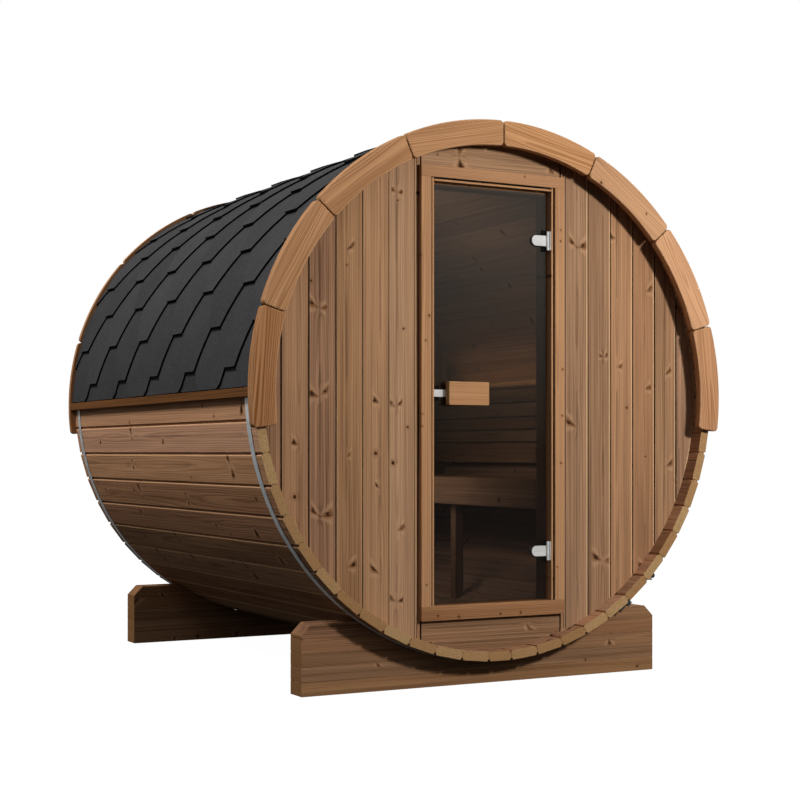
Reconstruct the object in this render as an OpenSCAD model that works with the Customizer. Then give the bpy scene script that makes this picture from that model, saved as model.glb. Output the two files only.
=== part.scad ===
// Barrel sauna: a lying barrel of staves on two cradles, with board end walls,
// a shingle cover, a hinged glass door and a bench. Front is -Y, up is +Z,
// and the origin is on the ground under the middle of the barrel.

/* [Barrel] */
// Distance from the barrel's axis to the outer face of a stave
barrel_r = 1000; // [900:10:1200]
// Length of the staves
barrel_len = 2100; // [1600:50:4000]
// Thickness of a stave
stave_t = 36; // [28:1:45]
// Width of a stave on its outer face
stave_w = 118; // [90:1:140]
// Width of the closing stave at the bottom
key_w = 92; // [60:1:110]
// Radius of the bead on a stave's edge
bead_r = 11; // [8:0.5:13]
// How far the bead's centre lies inside its stave
bead_in = 5; // [3:0.5:7]
// Chamfer on the long edges of a stave, outside and inside
stave_v = 5; // [1:0.5:6]
// Gap in each joint between boards
joint_gap = 0.5; // [0.3:0.1:1]

/* [Cradles] */
// Wood left under the barrel at the lowest point of a cradle
cradle_seat = 91; // [60:1:140]
// Height of a cradle
cradle_h = 260; // [200:5:320]
// Half the length of a cradle across the barrel
cradle_half = 780; // [650:10:850]
// Thickness of a cradle along the barrel
cradle_t = 93; // [60:1:140]
// Chamfer on a cradle's upper corners
cradle_v = 41; // [20:1:60]
// Distance from the stave ends to a cradle
cradle_inset = 91; // [85:1:400]

/* [Bands and roof] */
// Width of a steel band
band_w = 33; // [20:1:40]
// Thickness of a steel band
band_t = 1.2; // [0.8:0.1:3]
// Distance from the stave ends to a band
band_inset = 46; // [30:1:48]
// Angle from the top to a band's tensioner, on the right
tension_a = 138; // [120:1:150]
// Clear space between the two lugs of a tensioner
lug_space = 129; // [60:1:200]
// Height of a lug
lug_h = 38; // [32:1:50]
// Thickness of a lug
lug_t = 4; // [3:0.5:8]
// Radius of the tension rod
rod_r = 4; // [3:0.5:6]
// Height of the tension rod above the band
rod_rise = 26; // [20:1:27]
// Radius of the cross pin on the rod outside each lug
cross_r = 11; // [8:0.5:14]
// Length of rod beyond the upper cross pin
rod_tail = 28; // [10:1:60]
// Length of the sleeve nut beyond the lower cross pin
sleeve_l = 44; // [20:1:60]
// Radius of the sleeve nut
sleeve_r = 7; // [6:0.5:9]
// Thickness of the shingle cover
roof_t = 7; // [4:0.5:12]
// Angle from the top to the lower edge of the shingles
roof_a = 89.5; // [80:0.5:90]
// Width of an eave batten
batten_w = 33; // [20:1:45]
// Thickness of an eave batten
batten_t = 19; // [12:1:20]

/* [Rim trim] */
// Thickness of the curved trim boards
trim_t = 28; // [18:1:36]
// How far the trim reaches outside the staves
trim_out = 25; // [20:1:30]
// Width of the trim boards
trim_w = 95; // [70:1:110]
// Angle from the top to the lower end of the trim
trim_a = 97.6; // [92:0.2:110]
// Trim boards on each side
trim_n = 4; // [3:1:6]
// Gap between trim boards
trim_gap = 3; // [1:0.5:5]
// Radius of the trim boards' corners
trim_corner = 12; // [6:1:16]
// Radius of the trim boards' front edges
trim_edge = 5; // [2:0.5:8]

/* [End walls] */
// Distance from the stave ends to the outer face of a wall
wall_inset = 59; // [45:1:120]
// Thickness of the wall boards
wall_t = 36; // [28:1:45]
// Width of a wall board
board_w = 108; // [90:1:140]
// Chamfer on the front edges of a wall board
edge_v = 3; // [1:0.5:5]
// Width of the level boards over and under the door
level_w = 90; // [70:1:140]
// Depth of the groove in the staves that holds a wall
croze_d = 10; // [6:1:12]

/* [Door frame] */
// Clear width between the jambs
door_w = 520; // [480:5:640]
// Height of the sill's underside above the lowest point of the wall
sill_rise = 133; // [110:1:200]
// Height of the sill
sill_h = 54; // [40:1:80]
// Distance from the highest point of the wall down to the top of the frame
head_drop = 128; // [100:1:300]
// Width of the casing on the frame's face
casing_w = 43; // [35:1:60]
// How far the casing stands proud of the wall
casing_t = 20; // [12:1:30]
// Depth of the frame from its face to the cabin
frame_d = 115; // [80:1:150]
// Width of the seal groove beside the casing
seal_w = 6; // [4:0.5:10]
// Depth of the seal groove
seal_d = 22; // [12:1:30]
// Width of the lip inside the seal groove
lip_w = 8; // [6:0.5:12]
// How far the lip stands behind the casing's face
lip_set = 6; // [2:0.5:10]
// Overlap of the casing on the wall
casing_lap = 10; // [6:1:14]
// Width of a door post
post_w = 23; // [20:1:60]
// Width of the door stop
stop_w = 14; // [10:1:25]

/* [Glass door] */
// Thickness of the glass
glass_t = 8; // [6:1:10]
// Depth of the glass behind the casing's face
glass_in = 27; // [24:1:34]
// Clearance round the glass
glass_gap = 6; // [5.5:0.5:10]
// Clearance on the hinge side of the glass
hinge_gap = 10; // [9:0.5:14]
// Distance from the ends of the opening to a hinge
hinge_end = 190; // [120:5:300]
// Length of a hinge clamp on the glass
clamp_w = 72; // [45:1:80]
// Height of a hinge clamp
clamp_h = 40; // [30:1:60]
// Thickness of a clamp plate
clamp_t = 7; // [5:0.5:9]
// Height of a hinge's wall plate
plate_h = 72; // [60:1:100]
// Thickness of a hinge's wall plate
plate_t = 2.5; // [2:0.1:3]
// Radius of a hinge knuckle
knuckle_r = 6; // [5:0.25:7]
// Radius of a hinge pin
pin_r = 3; // [2:0.25:4]
// Width of the wooden handle
handle_w = 175; // [100:1:220]
// Height of the wooden handle
handle_h = 88; // [50:1:140]
// Thickness of a wooden handle plate
handle_t = 28; // [15:1:35]
// Height of the handle's middle above the sill
handle_z = 790; // [600:5:1000]
// Distance from the glass's free edge to the handle
handle_x = 52; // [30:1:100]
// Height of the steel plate that holds the handle
grip_h = 27; // [20:1:50]
// Thickness of that plate
grip_t = 4; // [2:0.5:6]

/* [Floor] */
// Height of the floor above the lowest point inside the staves
floor_rise = 107; // [80:1:150]
// Thickness of the floor boards
floor_t = 28; // [18:1:40]
// Width of a floor board
floor_w = 95; // [70:1:140]
// Gap between floor boards
floor_gap = 8; // [4:1:15]
// Thickness of a floor joist
joist_t = 45; // [30:1:60]
// Number of floor joists
joist_n = 4; // [2:1:7]

/* [Bench] */
// Height of the seat above the floor
seat_h = 530; // [400:5:560]
// Distance from the middle of the cabin to the seat's front edge
seat_x = 360; // [300:5:450]
// Thickness of the bench boards
seat_t = 27; // [18:1:40]
// Number of seat boards
seat_n = 5; // [4:1:7]
// Gap between seat boards
seat_gap = 10; // [5:1:20]
// Height of the front apron
apron_h = 118; // [60:1:160]
// Clearance between the bench and the end walls
bench_end = 4; // [2:1:15]
// Thickness of the bearers and legs
bearer_t = 42; // [30:1:60]
// Height of a bearer under the seat
bearer_h = 70; // [45:1:110]
// Setback of the leg behind the apron
leg_set = 20; // [5:1:60]
// Distance from the staves at their widest to the front of the backrest
back_set = 114; // [100:1:180]
// Thickness of the backrest slats
slat_t = 22; // [15:1:28]
// Height of the lowest slat above the seat
slat_rise = 64; // [40:1:90]
// Gap between slats
slat_gap = 7; // [4:1:12]
// Thickness of the ledge on the backrest
ledge_t = 20; // [12:1:30]

/* [Hidden] */
$fn = 360;

stave_color = "#a9784f";
trim_color = "#c08a58";
wall_color = "#b5835a";
frame_color = "#c79a68";
steel_color = "#b9bcc0";
roof_color = "#3a3b3f";
batten_color = "#5a3a26";
glass_color = "#4a403a80";
inside_color = "#9b7355";

// Curved pieces stand this far apart, and flat ones may touch
fit = 0.3;
// Moving steel parts at a hinge pin stand this far apart
pin_fit = 0.05;
// Axial play between a knuckle and its ears
knuckle_play = 0.5;
// Room that a cut takes beyond the piece it cuts
over = 1;
// Sides of small round parts and of nuts, and degrees a step on rounded edges
small_fn = 48;
hex_fn = 6;
arc_step = 30;
// Widths of the backrest slats, from the lowest up
slat_widths = [91, 52, 52, 60, 71];
// Distance from a clamp's front face to the middle of its pin
pin_set = 2;
// How far a clamp reaches past the edge of the glass
clamp_past = 2;
// Wall plate left on each side of its knuckle
plate_rim = 3.5;
// Share of the staves below the lower edge of each sector
sector_share = [0, 0.27, 0.5, 0.77, 1];

// Ring of staves: equal staves climb each side from the bottom key to a top key
half_a = atan(stave_w / 2 / barrel_r);
key_a = atan(key_w / 2 / barrel_r);
top_key_min = 1;
stave_n = floor((180 - key_a - top_key_min) / (2 * half_a));
top_a = 180 - key_a - 2 * half_a * stave_n;
inner_r = barrel_r - stave_t;
mid_r = barrel_r - stave_t / 2;
// Outermost corner of a stave, where bands, roof and cradles bear
corner_r = norm([barrel_r, stave_w / 2]);
axis_z = cradle_seat + corner_r + fit;
// Staves per side in the bottom, lower, upper and top sectors
sector = [for (share = sector_share) round(stave_n * share)];
cradle_y = barrel_len / 2 - cradle_inset - cradle_t / 2;

band_in_r = corner_r + fit;
band_out_r = band_in_r + band_t;
cover_r = band_out_r + fit;
band_z = barrel_len / 2 - band_inset - band_w / 2;
lug_x = (lug_space + lug_t) / 2;
lug_root = sqrt(pow(band_in_r + band_t / 2, 2) - pow(lug_x, 2));
cross_x = lug_x + lug_t / 2 + fit + cross_r;

trim_out_r = barrel_r + trim_out;
trim_in_r = trim_out_r - trim_w;
trim_step = trim_a / trim_n;

end_y = -barrel_len / 2;
wall_y = end_y + wall_inset;
wall_back_y = wall_y + wall_t;
wall_r = inner_r + croze_d;
cabin_y = -wall_back_y;

face_y = wall_y - casing_t;
frame_y = face_y + frame_d;
jamb_w = lip_w + seal_w + casing_w;
frame_x = door_w / 2 + jamb_w;
box_x = frame_x - casing_lap;
post_x = box_x + fit + post_w;
sill_z = axis_z - wall_r + sill_rise;
opening_z = sill_z + sill_h;
head_top = axis_z + wall_r - head_drop;
head_z = head_top - jamb_w;
door_h = head_z - opening_z;

glass_y = face_y + glass_in;
glass_x0 = -door_w / 2 + glass_gap;
glass_x1 = door_w / 2 - hinge_gap;
glass_z0 = opening_z + glass_gap;
glass_z1 = head_z - glass_gap;
stop_y = glass_y + glass_t + glass_gap;
hinge_z = [opening_z + hinge_end, head_z - hinge_end];
axis_x = door_w / 2 - plate_t - knuckle_play - knuckle_r;
axis_y = glass_y - clamp_t - pin_set;
knuckle_h = clamp_h;
ear_h = (plate_h - knuckle_h) / 2 - knuckle_play;
plate_d = 2 * (knuckle_r + plate_rim);
grip_x1 = glass_x0 + handle_x + handle_w / 2;
handle_mid_z = opening_z + handle_z;

floor_z = axis_z - inner_r + floor_rise;
joist_top = floor_z - floor_t;
floor_half = sqrt(pow(inner_r, 2) - pow(axis_z - joist_top, 2));
floor_pitch = floor_w + floor_gap;
floor_n = floor((2 * floor_half + floor_gap) / floor_pitch);
seat_z = floor_z + seat_h;
seat_under = seat_z - seat_t;
seat_back = sqrt(pow(inner_r, 2) - pow(axis_z - seat_under, 2)) - 2 * fit;
seat_board = (seat_back - seat_x - seat_t - seat_gap * seat_n) / seat_n;
bench_half = cabin_y - bench_end;
back_x = inner_r - back_set;
slat_n = len(slat_widths);
ledge_z = slat_low(slat_n) - slat_gap;

// Height of the underside of slat i
function slat_low(i) = i == 0 ? seat_z + slat_rise : slat_low(i - 1) + slat_widths[i - 1] + slat_gap;

// Turns a shape drawn across the barrel, x right and y up, onto the barrel's axis
module about_axis() {
    translate([0, 0, axis_z])
        rotate([90, 0, 0])
            children();
}

// Outline of a board in plan, with its front edges chamfered
function board_plan(x0, x1, front, back) = [
    [x0, back], [x1, back], [x1, front + edge_v], [x1 - edge_v, front],
    [x0 + edge_v, front], [x0, front + edge_v]
];

// Centre of the bead in a joint at angle a, b inside the stave's own edge
function bead_at(a, b) = [mid_r * sin(a) - b * cos(a), mid_r * cos(a) + b * sin(a)];

// Cross-section of a stave with half angle a: beads or coves on its two edges
module stave_section(a, right_bead, left_bead) {
    gap = joint_gap / 2;
    outer = barrel_r * tan(a) - gap;
    inner = inner_r * tan(a) - gap;
    slope = stave_v * tan(a);
    difference() {
        union() {
            polygon([
                [stave_v - inner, inner_r], [inner - stave_v, inner_r], [inner + slope, inner_r + stave_v],
                [outer - slope, barrel_r - stave_v], [outer - stave_v, barrel_r], [stave_v - outer, barrel_r],
                [slope - outer, barrel_r - stave_v], [-inner - slope, inner_r + stave_v]
            ]);
            if (right_bead)
                translate(bead_at(a, bead_in))
                    circle(bead_r);
            if (left_bead)
                mirror([1, 0])
                    translate(bead_at(a, bead_in))
                        circle(bead_r);
        }
        if (!right_bead)
            translate(bead_at(a, -bead_in))
                circle(bead_r + joint_gap);
        if (!left_bead)
            mirror([1, 0])
                translate(bead_at(a, -bead_in))
                    circle(bead_r + joint_gap);
    }
}

// One stave at an angle from the top, with grooves for the end walls
module stave(at, a, right_bead, left_bead) {
    difference() {
        rotate([0, 0, -at])
            linear_extrude(barrel_len, center = true)
                stave_section(a, right_bead, left_bead);
        for (side = [-1, 1])
            translate([0, 0, side * (cabin_y + wall_t / 2)])
                cylinder(r = wall_r + fit, h = wall_t + 2 * fit, center = true);
    }
}

// Staves number i0 to i1 on the right side, counted up from the bottom key
module stave_rows(i0, i1) {
    for (i = [i0 : i1 - 1])
        stave(180 - key_a - half_a * (2 * i + 1), half_a, false, true);
}

module staves_bottom() {
    color(stave_color)
        about_axis() {
            stave(180, key_a, true, true);
            stave_rows(sector[0], sector[1]);
            mirror([1, 0, 0])
                stave_rows(sector[0], sector[1]);
        }
}

module staves_right() {
    color(stave_color)
        about_axis()
            stave_rows(sector[1], sector[2]);
}

module staves_left() {
    color(stave_color)
        about_axis()
            mirror([1, 0, 0])
                stave_rows(sector[1], sector[2]);
}

module staves_upper_right() {
    color(stave_color)
        about_axis()
            stave_rows(sector[2], sector[3]);
}

module staves_upper_left() {
    color(stave_color)
        about_axis()
            mirror([1, 0, 0])
                stave_rows(sector[2], sector[3]);
}

module staves_top() {
    color(stave_color)
        about_axis() {
            stave(0, top_a, false, false);
            stave_rows(sector[3], sector[4]);
            mirror([1, 0, 0])
                stave_rows(sector[3], sector[4]);
        }
}

// Laminated cradle with chamfered shoulders and a round seat
module cradle() {
    difference() {
        translate([0, cradle_t / 2, 0])
            rotate([90, 0, 0])
                linear_extrude(cradle_t)
                    polygon([
                        [-cradle_half, 0], [cradle_half, 0],
                        [cradle_half, cradle_h - cradle_v], [cradle_half - cradle_v, cradle_h],
                        [cradle_v - cradle_half, cradle_h], [-cradle_half, cradle_h - cradle_v]
                    ]);
        about_axis()
            cylinder(r = corner_r + fit, h = cradle_t + 2 * over, center = true);
    }
}

module cradle_front() {
    color(frame_color)
        translate([0, -cradle_y, 0])
            cradle();
}

module cradle_rear() {
    color(frame_color)
        translate([0, cradle_y, 0])
            cradle();
}

// Steel hoop with a lug turned out at each end
module band() {
    open_a = 2 * asin(lug_x / band_in_r);
    rotate([0, 0, 90 - tension_a + open_a / 2])
        rotate_extrude(angle = 360 - open_a)
            translate([band_in_r, -band_w / 2])
                square([band_t, band_w]);
    rotate([0, 0, -tension_a])
        for (side = [-1, 1])
            translate([side * lug_x, lug_root + lug_h / 2, 0])
                difference() {
                    cube([lug_t, lug_h, band_w], center = true);
                    translate([0, rod_rise - lug_h / 2, 0])
                        rotate([0, 90, 0])
                            cylinder(r = rod_r + fit, h = lug_t + 2 * over, center = true);
                }
}

module band_front() {
    color(steel_color)
        about_axis()
            translate([0, 0, band_z])
                band();
}

module band_rear() {
    color(steel_color)
        about_axis()
            translate([0, 0, -band_z])
                band();
}

// Rod through both lugs, with a cross pin outside each and a sleeve nut on its lower end
module tensioner() {
    rotate([0, 0, -tension_a])
        translate([0, lug_root + rod_rise, 0]) {
            for (side = [-1, 1])
                translate([side * cross_x, 0, 0])
                    cylinder(r = cross_r, h = band_w, center = true, $fn = small_fn);
            translate([-cross_x - rod_tail, 0, 0])
                rotate([0, 90, 0])
                    cylinder(r = rod_r, h = 2 * cross_x + rod_tail, $fn = small_fn);
            translate([cross_x, 0, 0])
                rotate([0, 90, 0])
                    cylinder(r = sleeve_r, h = sleeve_l, $fn = hex_fn);
        }
}

module band_tensioners() {
    color(steel_color)
        about_axis()
            for (side = [-1, 1])
                translate([0, 0, side * band_z])
                    tensioner();
}

// Shingle cover of one side, from the ridge down to the eave
module roof_side() {
    rotate([0, 0, 90 - roof_a])
        rotate_extrude(angle = roof_a)
            translate([cover_r, -barrel_len / 2])
                square([roof_t, barrel_len]);
}

module roof_right() {
    color(roof_color)
        about_axis()
            roof_side();
}

module roof_left() {
    color(roof_color)
        about_axis()
            mirror([1, 0, 0])
                roof_side();
}

// Straight batten over the bands, under the lower edge of the shingles
module eave_batten() {
    top = axis_z + cover_r * cos(roof_a) - fit;
    translate([cover_r, end_y, top - batten_w])
        cube([batten_t, barrel_len, batten_w]);
}

module eave_batten_right() {
    color(batten_color)
        eave_batten();
}

module eave_batten_left() {
    color(batten_color)
        mirror([1, 0, 0])
            eave_batten();
}

// Half section of a trim board: its two front edges are rounded
function trim_section() = concat(
    [[trim_in_r, 0], [trim_out_r, 0]],
    [for (t = [0 : arc_step : 90]) [
        trim_out_r - trim_edge + trim_edge * cos(t), trim_t - trim_edge + trim_edge * sin(t)
    ]],
    [for (t = [90 : arc_step : 180]) [
        trim_in_r + trim_edge + trim_edge * cos(t), trim_t - trim_edge + trim_edge * sin(t)
    ]]
);

// What is cut off to round a corner at the origin, with the board at -x and +y
module corner_waste() {
    difference() {
        translate([-trim_corner, -over, -over])
            cube([trim_corner + over, trim_corner + over, trim_t + 2 * over]);
        translate([-trim_corner, trim_corner, -2 * over])
            cylinder(r = trim_corner, h = trim_t + 4 * over, $fn = small_fn);
    }
}

// One curved trim board that covers the angle a, starting on the x axis
module trim_board(a) {
    difference() {
        rotate_extrude(angle = a)
            polygon(trim_section());
        translate([trim_out_r, 0, 0])
            corner_waste();
        translate([trim_in_r, 0, 0])
            mirror([1, 0, 0])
                corner_waste();
        rotate([0, 0, a])
            mirror([0, 1, 0]) {
                translate([trim_out_r, 0, 0])
                    corner_waste();
                translate([trim_in_r, 0, 0])
                    mirror([1, 0, 0])
                        corner_waste();
            }
    }
}

// Trim boards down one side of an end of the barrel
module trim_side() {
    gap_a = 2 * asin(trim_gap / 2 / trim_out_r);
    for (i = [1 : trim_n])
        rotate([0, 0, 90 - i * trim_step + gap_a / 2])
            translate([0, 0, barrel_len / 2])
                trim_board(trim_step - gap_a);
}

module front_trim_right() {
    color(trim_color)
        about_axis()
            trim_side();
}

module front_trim_left() {
    color(trim_color)
        about_axis()
            mirror([1, 0, 0])
                trim_side();
}

module rear_trim_right() {
    color(trim_color)
        about_axis()
            mirror([0, 0, 1])
                trim_side();
}

module rear_trim_left() {
    color(trim_color)
        about_axis()
            mirror([0, 0, 1])
                mirror([1, 0, 0])
                    trim_side();
}

// Keeps what lies inside the wall groove
module inside_groove() {
    intersection() {
        children();
        about_axis()
            cylinder(r = wall_r, h = 2 * barrel_len, center = true);
    }
}

// Keeps what lies inside the staves
module inside_barrel() {
    intersection() {
        children();
        about_axis()
            cylinder(r = inner_r - fit, h = barrel_len, center = true);
    }
}

// Upright boards from x to the rim, the last one as wide as what is left
module upright_boards(x) {
    n = max(1, round((wall_r - x) / board_w));
    for (i = [0 : n - 1]) {
        x0 = x + i * board_w + joint_gap / 2;
        x1 = i == n - 1 ? wall_r : x + (i + 1) * board_w - joint_gap / 2;
        inside_groove()
            translate([0, 0, axis_z - wall_r])
                linear_extrude(2 * wall_r)
                    polygon(board_plan(x0, x1, wall_y, wall_back_y));
    }
}

module front_wall_right() {
    color(wall_color)
        upright_boards(post_x);
}

module front_wall_left() {
    color(wall_color)
        mirror([1, 0, 0])
            upright_boards(post_x);
}

module rear_wall_right() {
    color(wall_color)
        mirror([0, 1, 0])
            upright_boards(0);
}

module rear_wall_left() {
    color(wall_color)
        mirror([1, 0, 0])
            mirror([0, 1, 0])
                upright_boards(0);
}

// One level board between the door posts, from height z0 to z1
module level_board(z0, z1) {
    reach = box_x + fit - joint_gap;
    inside_groove()
        rotate([0, 90, 0])
            translate([0, 0, -reach])
                linear_extrude(2 * reach)
                    polygon(board_plan(-z1, -z0, wall_y, wall_back_y));
}

// Level boards stacked from the edge of the doorway to the rim
module level_boards(start, reach, up) {
    n = max(1, round(reach / level_w));
    for (i = [0 : n - 1]) {
        near = i * level_w + joint_gap / 2;
        far = i == n - 1 ? reach : (i + 1) * level_w - joint_gap / 2;
        level_board(up ? start + near : start - far, up ? start + far : start - near);
    }
}

module front_wall_head() {
    start = head_top - casing_lap + fit;
    color(wall_color)
        level_boards(start, axis_z + wall_r - start, true);
}

module front_wall_foot() {
    start = sill_z + casing_lap - fit;
    color(wall_color)
        level_boards(start, start - axis_z + wall_r, false);
}

module door_posts() {
    color(wall_color)
        for (side = [0, 1])
            mirror([side, 0, 0])
                inside_groove()
                    translate([box_x + fit, wall_y, axis_z - wall_r])
                        cube([post_w - joint_gap / 2, wall_t, 2 * wall_r]);
}

// Section of a jamb in plan: casing, seal groove, lip and the box behind them
function jamb_section() = [
    [lip_w + seal_w, 0], [jamb_w, 0], [jamb_w, casing_t], [jamb_w - casing_lap, casing_t],
    [jamb_w - casing_lap, frame_d], [0, frame_d],
    [0, lip_set], [lip_w, lip_set], [lip_w, seal_d], [lip_w + seal_w, seal_d]
];

module jamb() {
    translate([door_w / 2, face_y, opening_z])
        linear_extrude(door_h + lip_w + seal_w)
            polygon(jamb_section());
}

module door_jamb_right() {
    color(frame_color)
        jamb();
}

// The closing jamb carries the stop behind the glass
module door_jamb_left() {
    color(frame_color)
        mirror([1, 0, 0]) {
            jamb();
            translate([door_w / 2 - stop_w, stop_y, opening_z])
                cube([stop_w + lip_w, frame_y - stop_y, door_h]);
        }
}

// The head's casing spans the frame, and its lip and stop fit between the jambs
module door_head() {
    above = lip_w + seal_w;
    color(frame_color) {
        translate([-frame_x, face_y, head_z + above])
            cube([2 * frame_x, casing_t, casing_w]);
        translate([-box_x, face_y + casing_t, head_z + above])
            cube([2 * box_x, frame_d - casing_t, casing_w - casing_lap]);
        translate([fit - door_w / 2, face_y + seal_d, head_z])
            cube([door_w - 2 * fit, frame_d - seal_d, above]);
        translate([fit - door_w / 2, face_y + lip_set, head_z])
            cube([door_w - 2 * fit, frame_d - lip_set, lip_w]);
        translate([stop_w + fit - door_w / 2, stop_y, head_z - stop_w])
            cube([door_w - stop_w - 2 * fit, frame_y - stop_y, stop_w + lip_w]);
    }
}

module door_sill() {
    color(frame_color) {
        translate([-frame_x, face_y, sill_z])
            cube([2 * frame_x, casing_t, sill_h]);
        translate([-box_x, face_y + casing_t, sill_z + casing_lap])
            cube([2 * box_x, frame_d - casing_t, sill_h - casing_lap]);
    }
}

// Wall plate with two ears and the pin between them
module hinge_plate() {
    translate([door_w / 2 - plate_t, axis_y - plate_d / 2, -plate_h / 2])
        cube([plate_t, plate_d, plate_h]);
    for (side = [-1, 1])
        translate([0, 0, side * (plate_h / 2 - ear_h / 2)]) {
            translate([axis_x, axis_y, 0])
                cylinder(r = knuckle_r, h = ear_h, center = true, $fn = small_fn);
            translate([axis_x, axis_y - knuckle_r / 2, -ear_h / 2])
                cube([door_w / 2 - axis_x - plate_t / 2, knuckle_r, ear_h]);
        }
    translate([axis_x, axis_y, 0])
        cylinder(r = pin_r, h = plate_h, center = true, $fn = small_fn);
}

module hinge_plates() {
    color(steel_color)
        for (z = hinge_z)
            translate([0, 0, z])
                hinge_plate();
}

module door_glass() {
    color(glass_color)
        translate([glass_x0, glass_y, glass_z0])
            cube([glass_x1 - glass_x0, glass_t, glass_z1 - glass_z0]);
}

// D-shaped clamp plate, round towards the middle of the glass
module clamp_plate(y) {
    x1 = glass_x1 + clamp_past;
    translate([x1 - clamp_w + clamp_h / 2, y, 0])
        rotate([-90, 0, 0]) {
            cylinder(r = clamp_h / 2, h = clamp_t);
            translate([0, -clamp_h / 2, 0])
                cube([clamp_w - clamp_h / 2, clamp_h, clamp_t]);
        }
}

// Clamp plates on both faces of the glass, with the knuckle on the front one
module hinge_clamp() {
    difference() {
        union() {
            clamp_plate(glass_y - clamp_t);
            translate([axis_x, axis_y, 0])
                cylinder(r = knuckle_r, h = knuckle_h, center = true, $fn = small_fn);
        }
        translate([axis_x, axis_y, 0])
            cylinder(r = pin_r + pin_fit, h = clamp_h + 2 * over, center = true, $fn = small_fn);
    }
    clamp_plate(glass_y + glass_t);
}

module hinge_clamps() {
    color(steel_color)
        for (z = hinge_z)
            translate([0, 0, z])
                hinge_clamp();
}

// Steel strip on each face of the glass, from its free edge to under the handle
module handle_plate() {
    color(steel_color)
        for (y = [glass_y - grip_t, glass_y + glass_t])
            translate([glass_x0, y, handle_mid_z - grip_h / 2])
                cube([grip_x1 - glass_x0, grip_t, grip_h]);
}

// Wooden plate outside and its twin inside
module door_handle() {
    color(frame_color)
        for (y = [glass_y - grip_t - handle_t, glass_y + glass_t + grip_t])
            translate([glass_x0 + handle_x, y, handle_mid_z - handle_h / 2])
                cube([handle_w, handle_t, handle_h]);
}

module floor_boards() {
    half = (floor_n * floor_pitch - floor_gap) / 2;
    color(inside_color)
        for (i = [0 : floor_n - 1])
            translate([i * floor_pitch - half, -cabin_y + bench_end, joist_top])
                cube([floor_w, 2 * (cabin_y - bench_end), floor_t]);
}

// Joists fill the round between the staves and the floor boards
module floor_joists() {
    step = 2 * (cabin_y - frame_d) / (joist_n - 1);
    color(inside_color)
        for (i = [0 : joist_n - 1])
            inside_barrel()
                translate([-floor_half, i * step - cabin_y + frame_d - joist_t / 2, axis_z - inner_r])
                    cube([2 * floor_half, joist_t, joist_top - axis_z + inner_r]);
}

module bench_seat() {
    color(inside_color)
        for (i = [0 : seat_n - 1])
            translate([seat_x + seat_t + seat_gap / 2 + i * (seat_board + seat_gap), -bench_half, seat_under])
                cube([seat_board, 2 * bench_half, seat_t]);
}

module bench_apron() {
    color(inside_color)
        translate([seat_x, -bench_half, seat_z - apron_h])
            cube([seat_t, 2 * bench_half, apron_h]);
}

// Bearers at both ends and in the middle carry the seat from the apron to the staves
module bench_bearers() {
    color(inside_color)
        for (y = [-bench_half, -bearer_t / 2, bench_half - bearer_t])
            inside_barrel()
                translate([seat_x + seat_t, y, seat_under - bearer_h])
                    cube([inner_r, bearer_t, bearer_h]);
}

// The leg stands on the staves beside the floor
module bench_leg() {
    color(inside_color)
        inside_barrel()
            translate([seat_x + seat_t + leg_set, -bearer_t / 2, axis_z - inner_r])
                cube([bearer_t, bearer_t, seat_under - bearer_h - axis_z + inner_r]);
}

module backrest_slats() {
    color(inside_color)
        for (i = [0 : slat_n - 1])
            translate([back_x, -bench_half, slat_low(i)])
                cube([slat_t, 2 * bench_half, slat_widths[i]]);
}

// Uprights between the slats and the staves
module backrest_posts() {
    low = slat_low(0);
    color(inside_color)
        for (y = [-bench_half, -bearer_t / 2, bench_half - bearer_t])
            inside_barrel()
                translate([back_x + slat_t, y, low])
                    cube([inner_r, bearer_t, ledge_z - low]);
}

module backrest_ledge() {
    color(inside_color)
        inside_barrel()
            translate([back_x - slat_t / 2, -bench_half, ledge_z])
                cube([inner_r, 2 * bench_half, ledge_t]);
}

cradle_front();
cradle_rear();
staves_bottom();
staves_left();
staves_right();
staves_upper_left();
staves_upper_right();
staves_top();
band_front();
band_rear();
band_tensioners();
roof_left();
roof_right();
eave_batten_left();
eave_batten_right();
front_trim_left();
front_trim_right();
rear_trim_left();
rear_trim_right();
front_wall_left();
front_wall_right();
front_wall_head();
front_wall_foot();
door_posts();
rear_wall_left();
rear_wall_right();
door_jamb_left();
door_jamb_right();
door_head();
door_sill();
hinge_plates();
door_glass();
hinge_clamps();
handle_plate();
door_handle();
floor_boards();
floor_joists();
bench_seat();
bench_apron();
bench_bearers();
bench_leg();
backrest_slats();
backrest_posts();
backrest_ledge();
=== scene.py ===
import math
from functools import partial

import bpy
import numpy as np
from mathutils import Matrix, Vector


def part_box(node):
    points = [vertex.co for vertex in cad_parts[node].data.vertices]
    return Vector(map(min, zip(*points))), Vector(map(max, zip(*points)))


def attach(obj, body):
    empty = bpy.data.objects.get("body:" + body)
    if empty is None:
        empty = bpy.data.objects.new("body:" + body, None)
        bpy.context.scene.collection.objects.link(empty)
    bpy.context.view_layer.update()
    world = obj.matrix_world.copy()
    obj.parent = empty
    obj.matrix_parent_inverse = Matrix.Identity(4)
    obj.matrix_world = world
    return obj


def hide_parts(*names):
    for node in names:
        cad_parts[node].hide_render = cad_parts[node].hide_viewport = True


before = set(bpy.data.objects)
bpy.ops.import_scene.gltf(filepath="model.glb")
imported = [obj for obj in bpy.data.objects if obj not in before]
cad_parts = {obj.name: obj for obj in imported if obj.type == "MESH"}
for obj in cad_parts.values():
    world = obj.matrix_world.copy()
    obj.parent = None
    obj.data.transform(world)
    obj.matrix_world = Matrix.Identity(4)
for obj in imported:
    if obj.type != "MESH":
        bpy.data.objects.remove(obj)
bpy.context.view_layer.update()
scene = bpy.context.scene
rng = np.random.default_rng(41)  # the one stream of chance, drawn in the order of the script
xAxis, yAxis, zAxis = np.eye(3)
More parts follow.
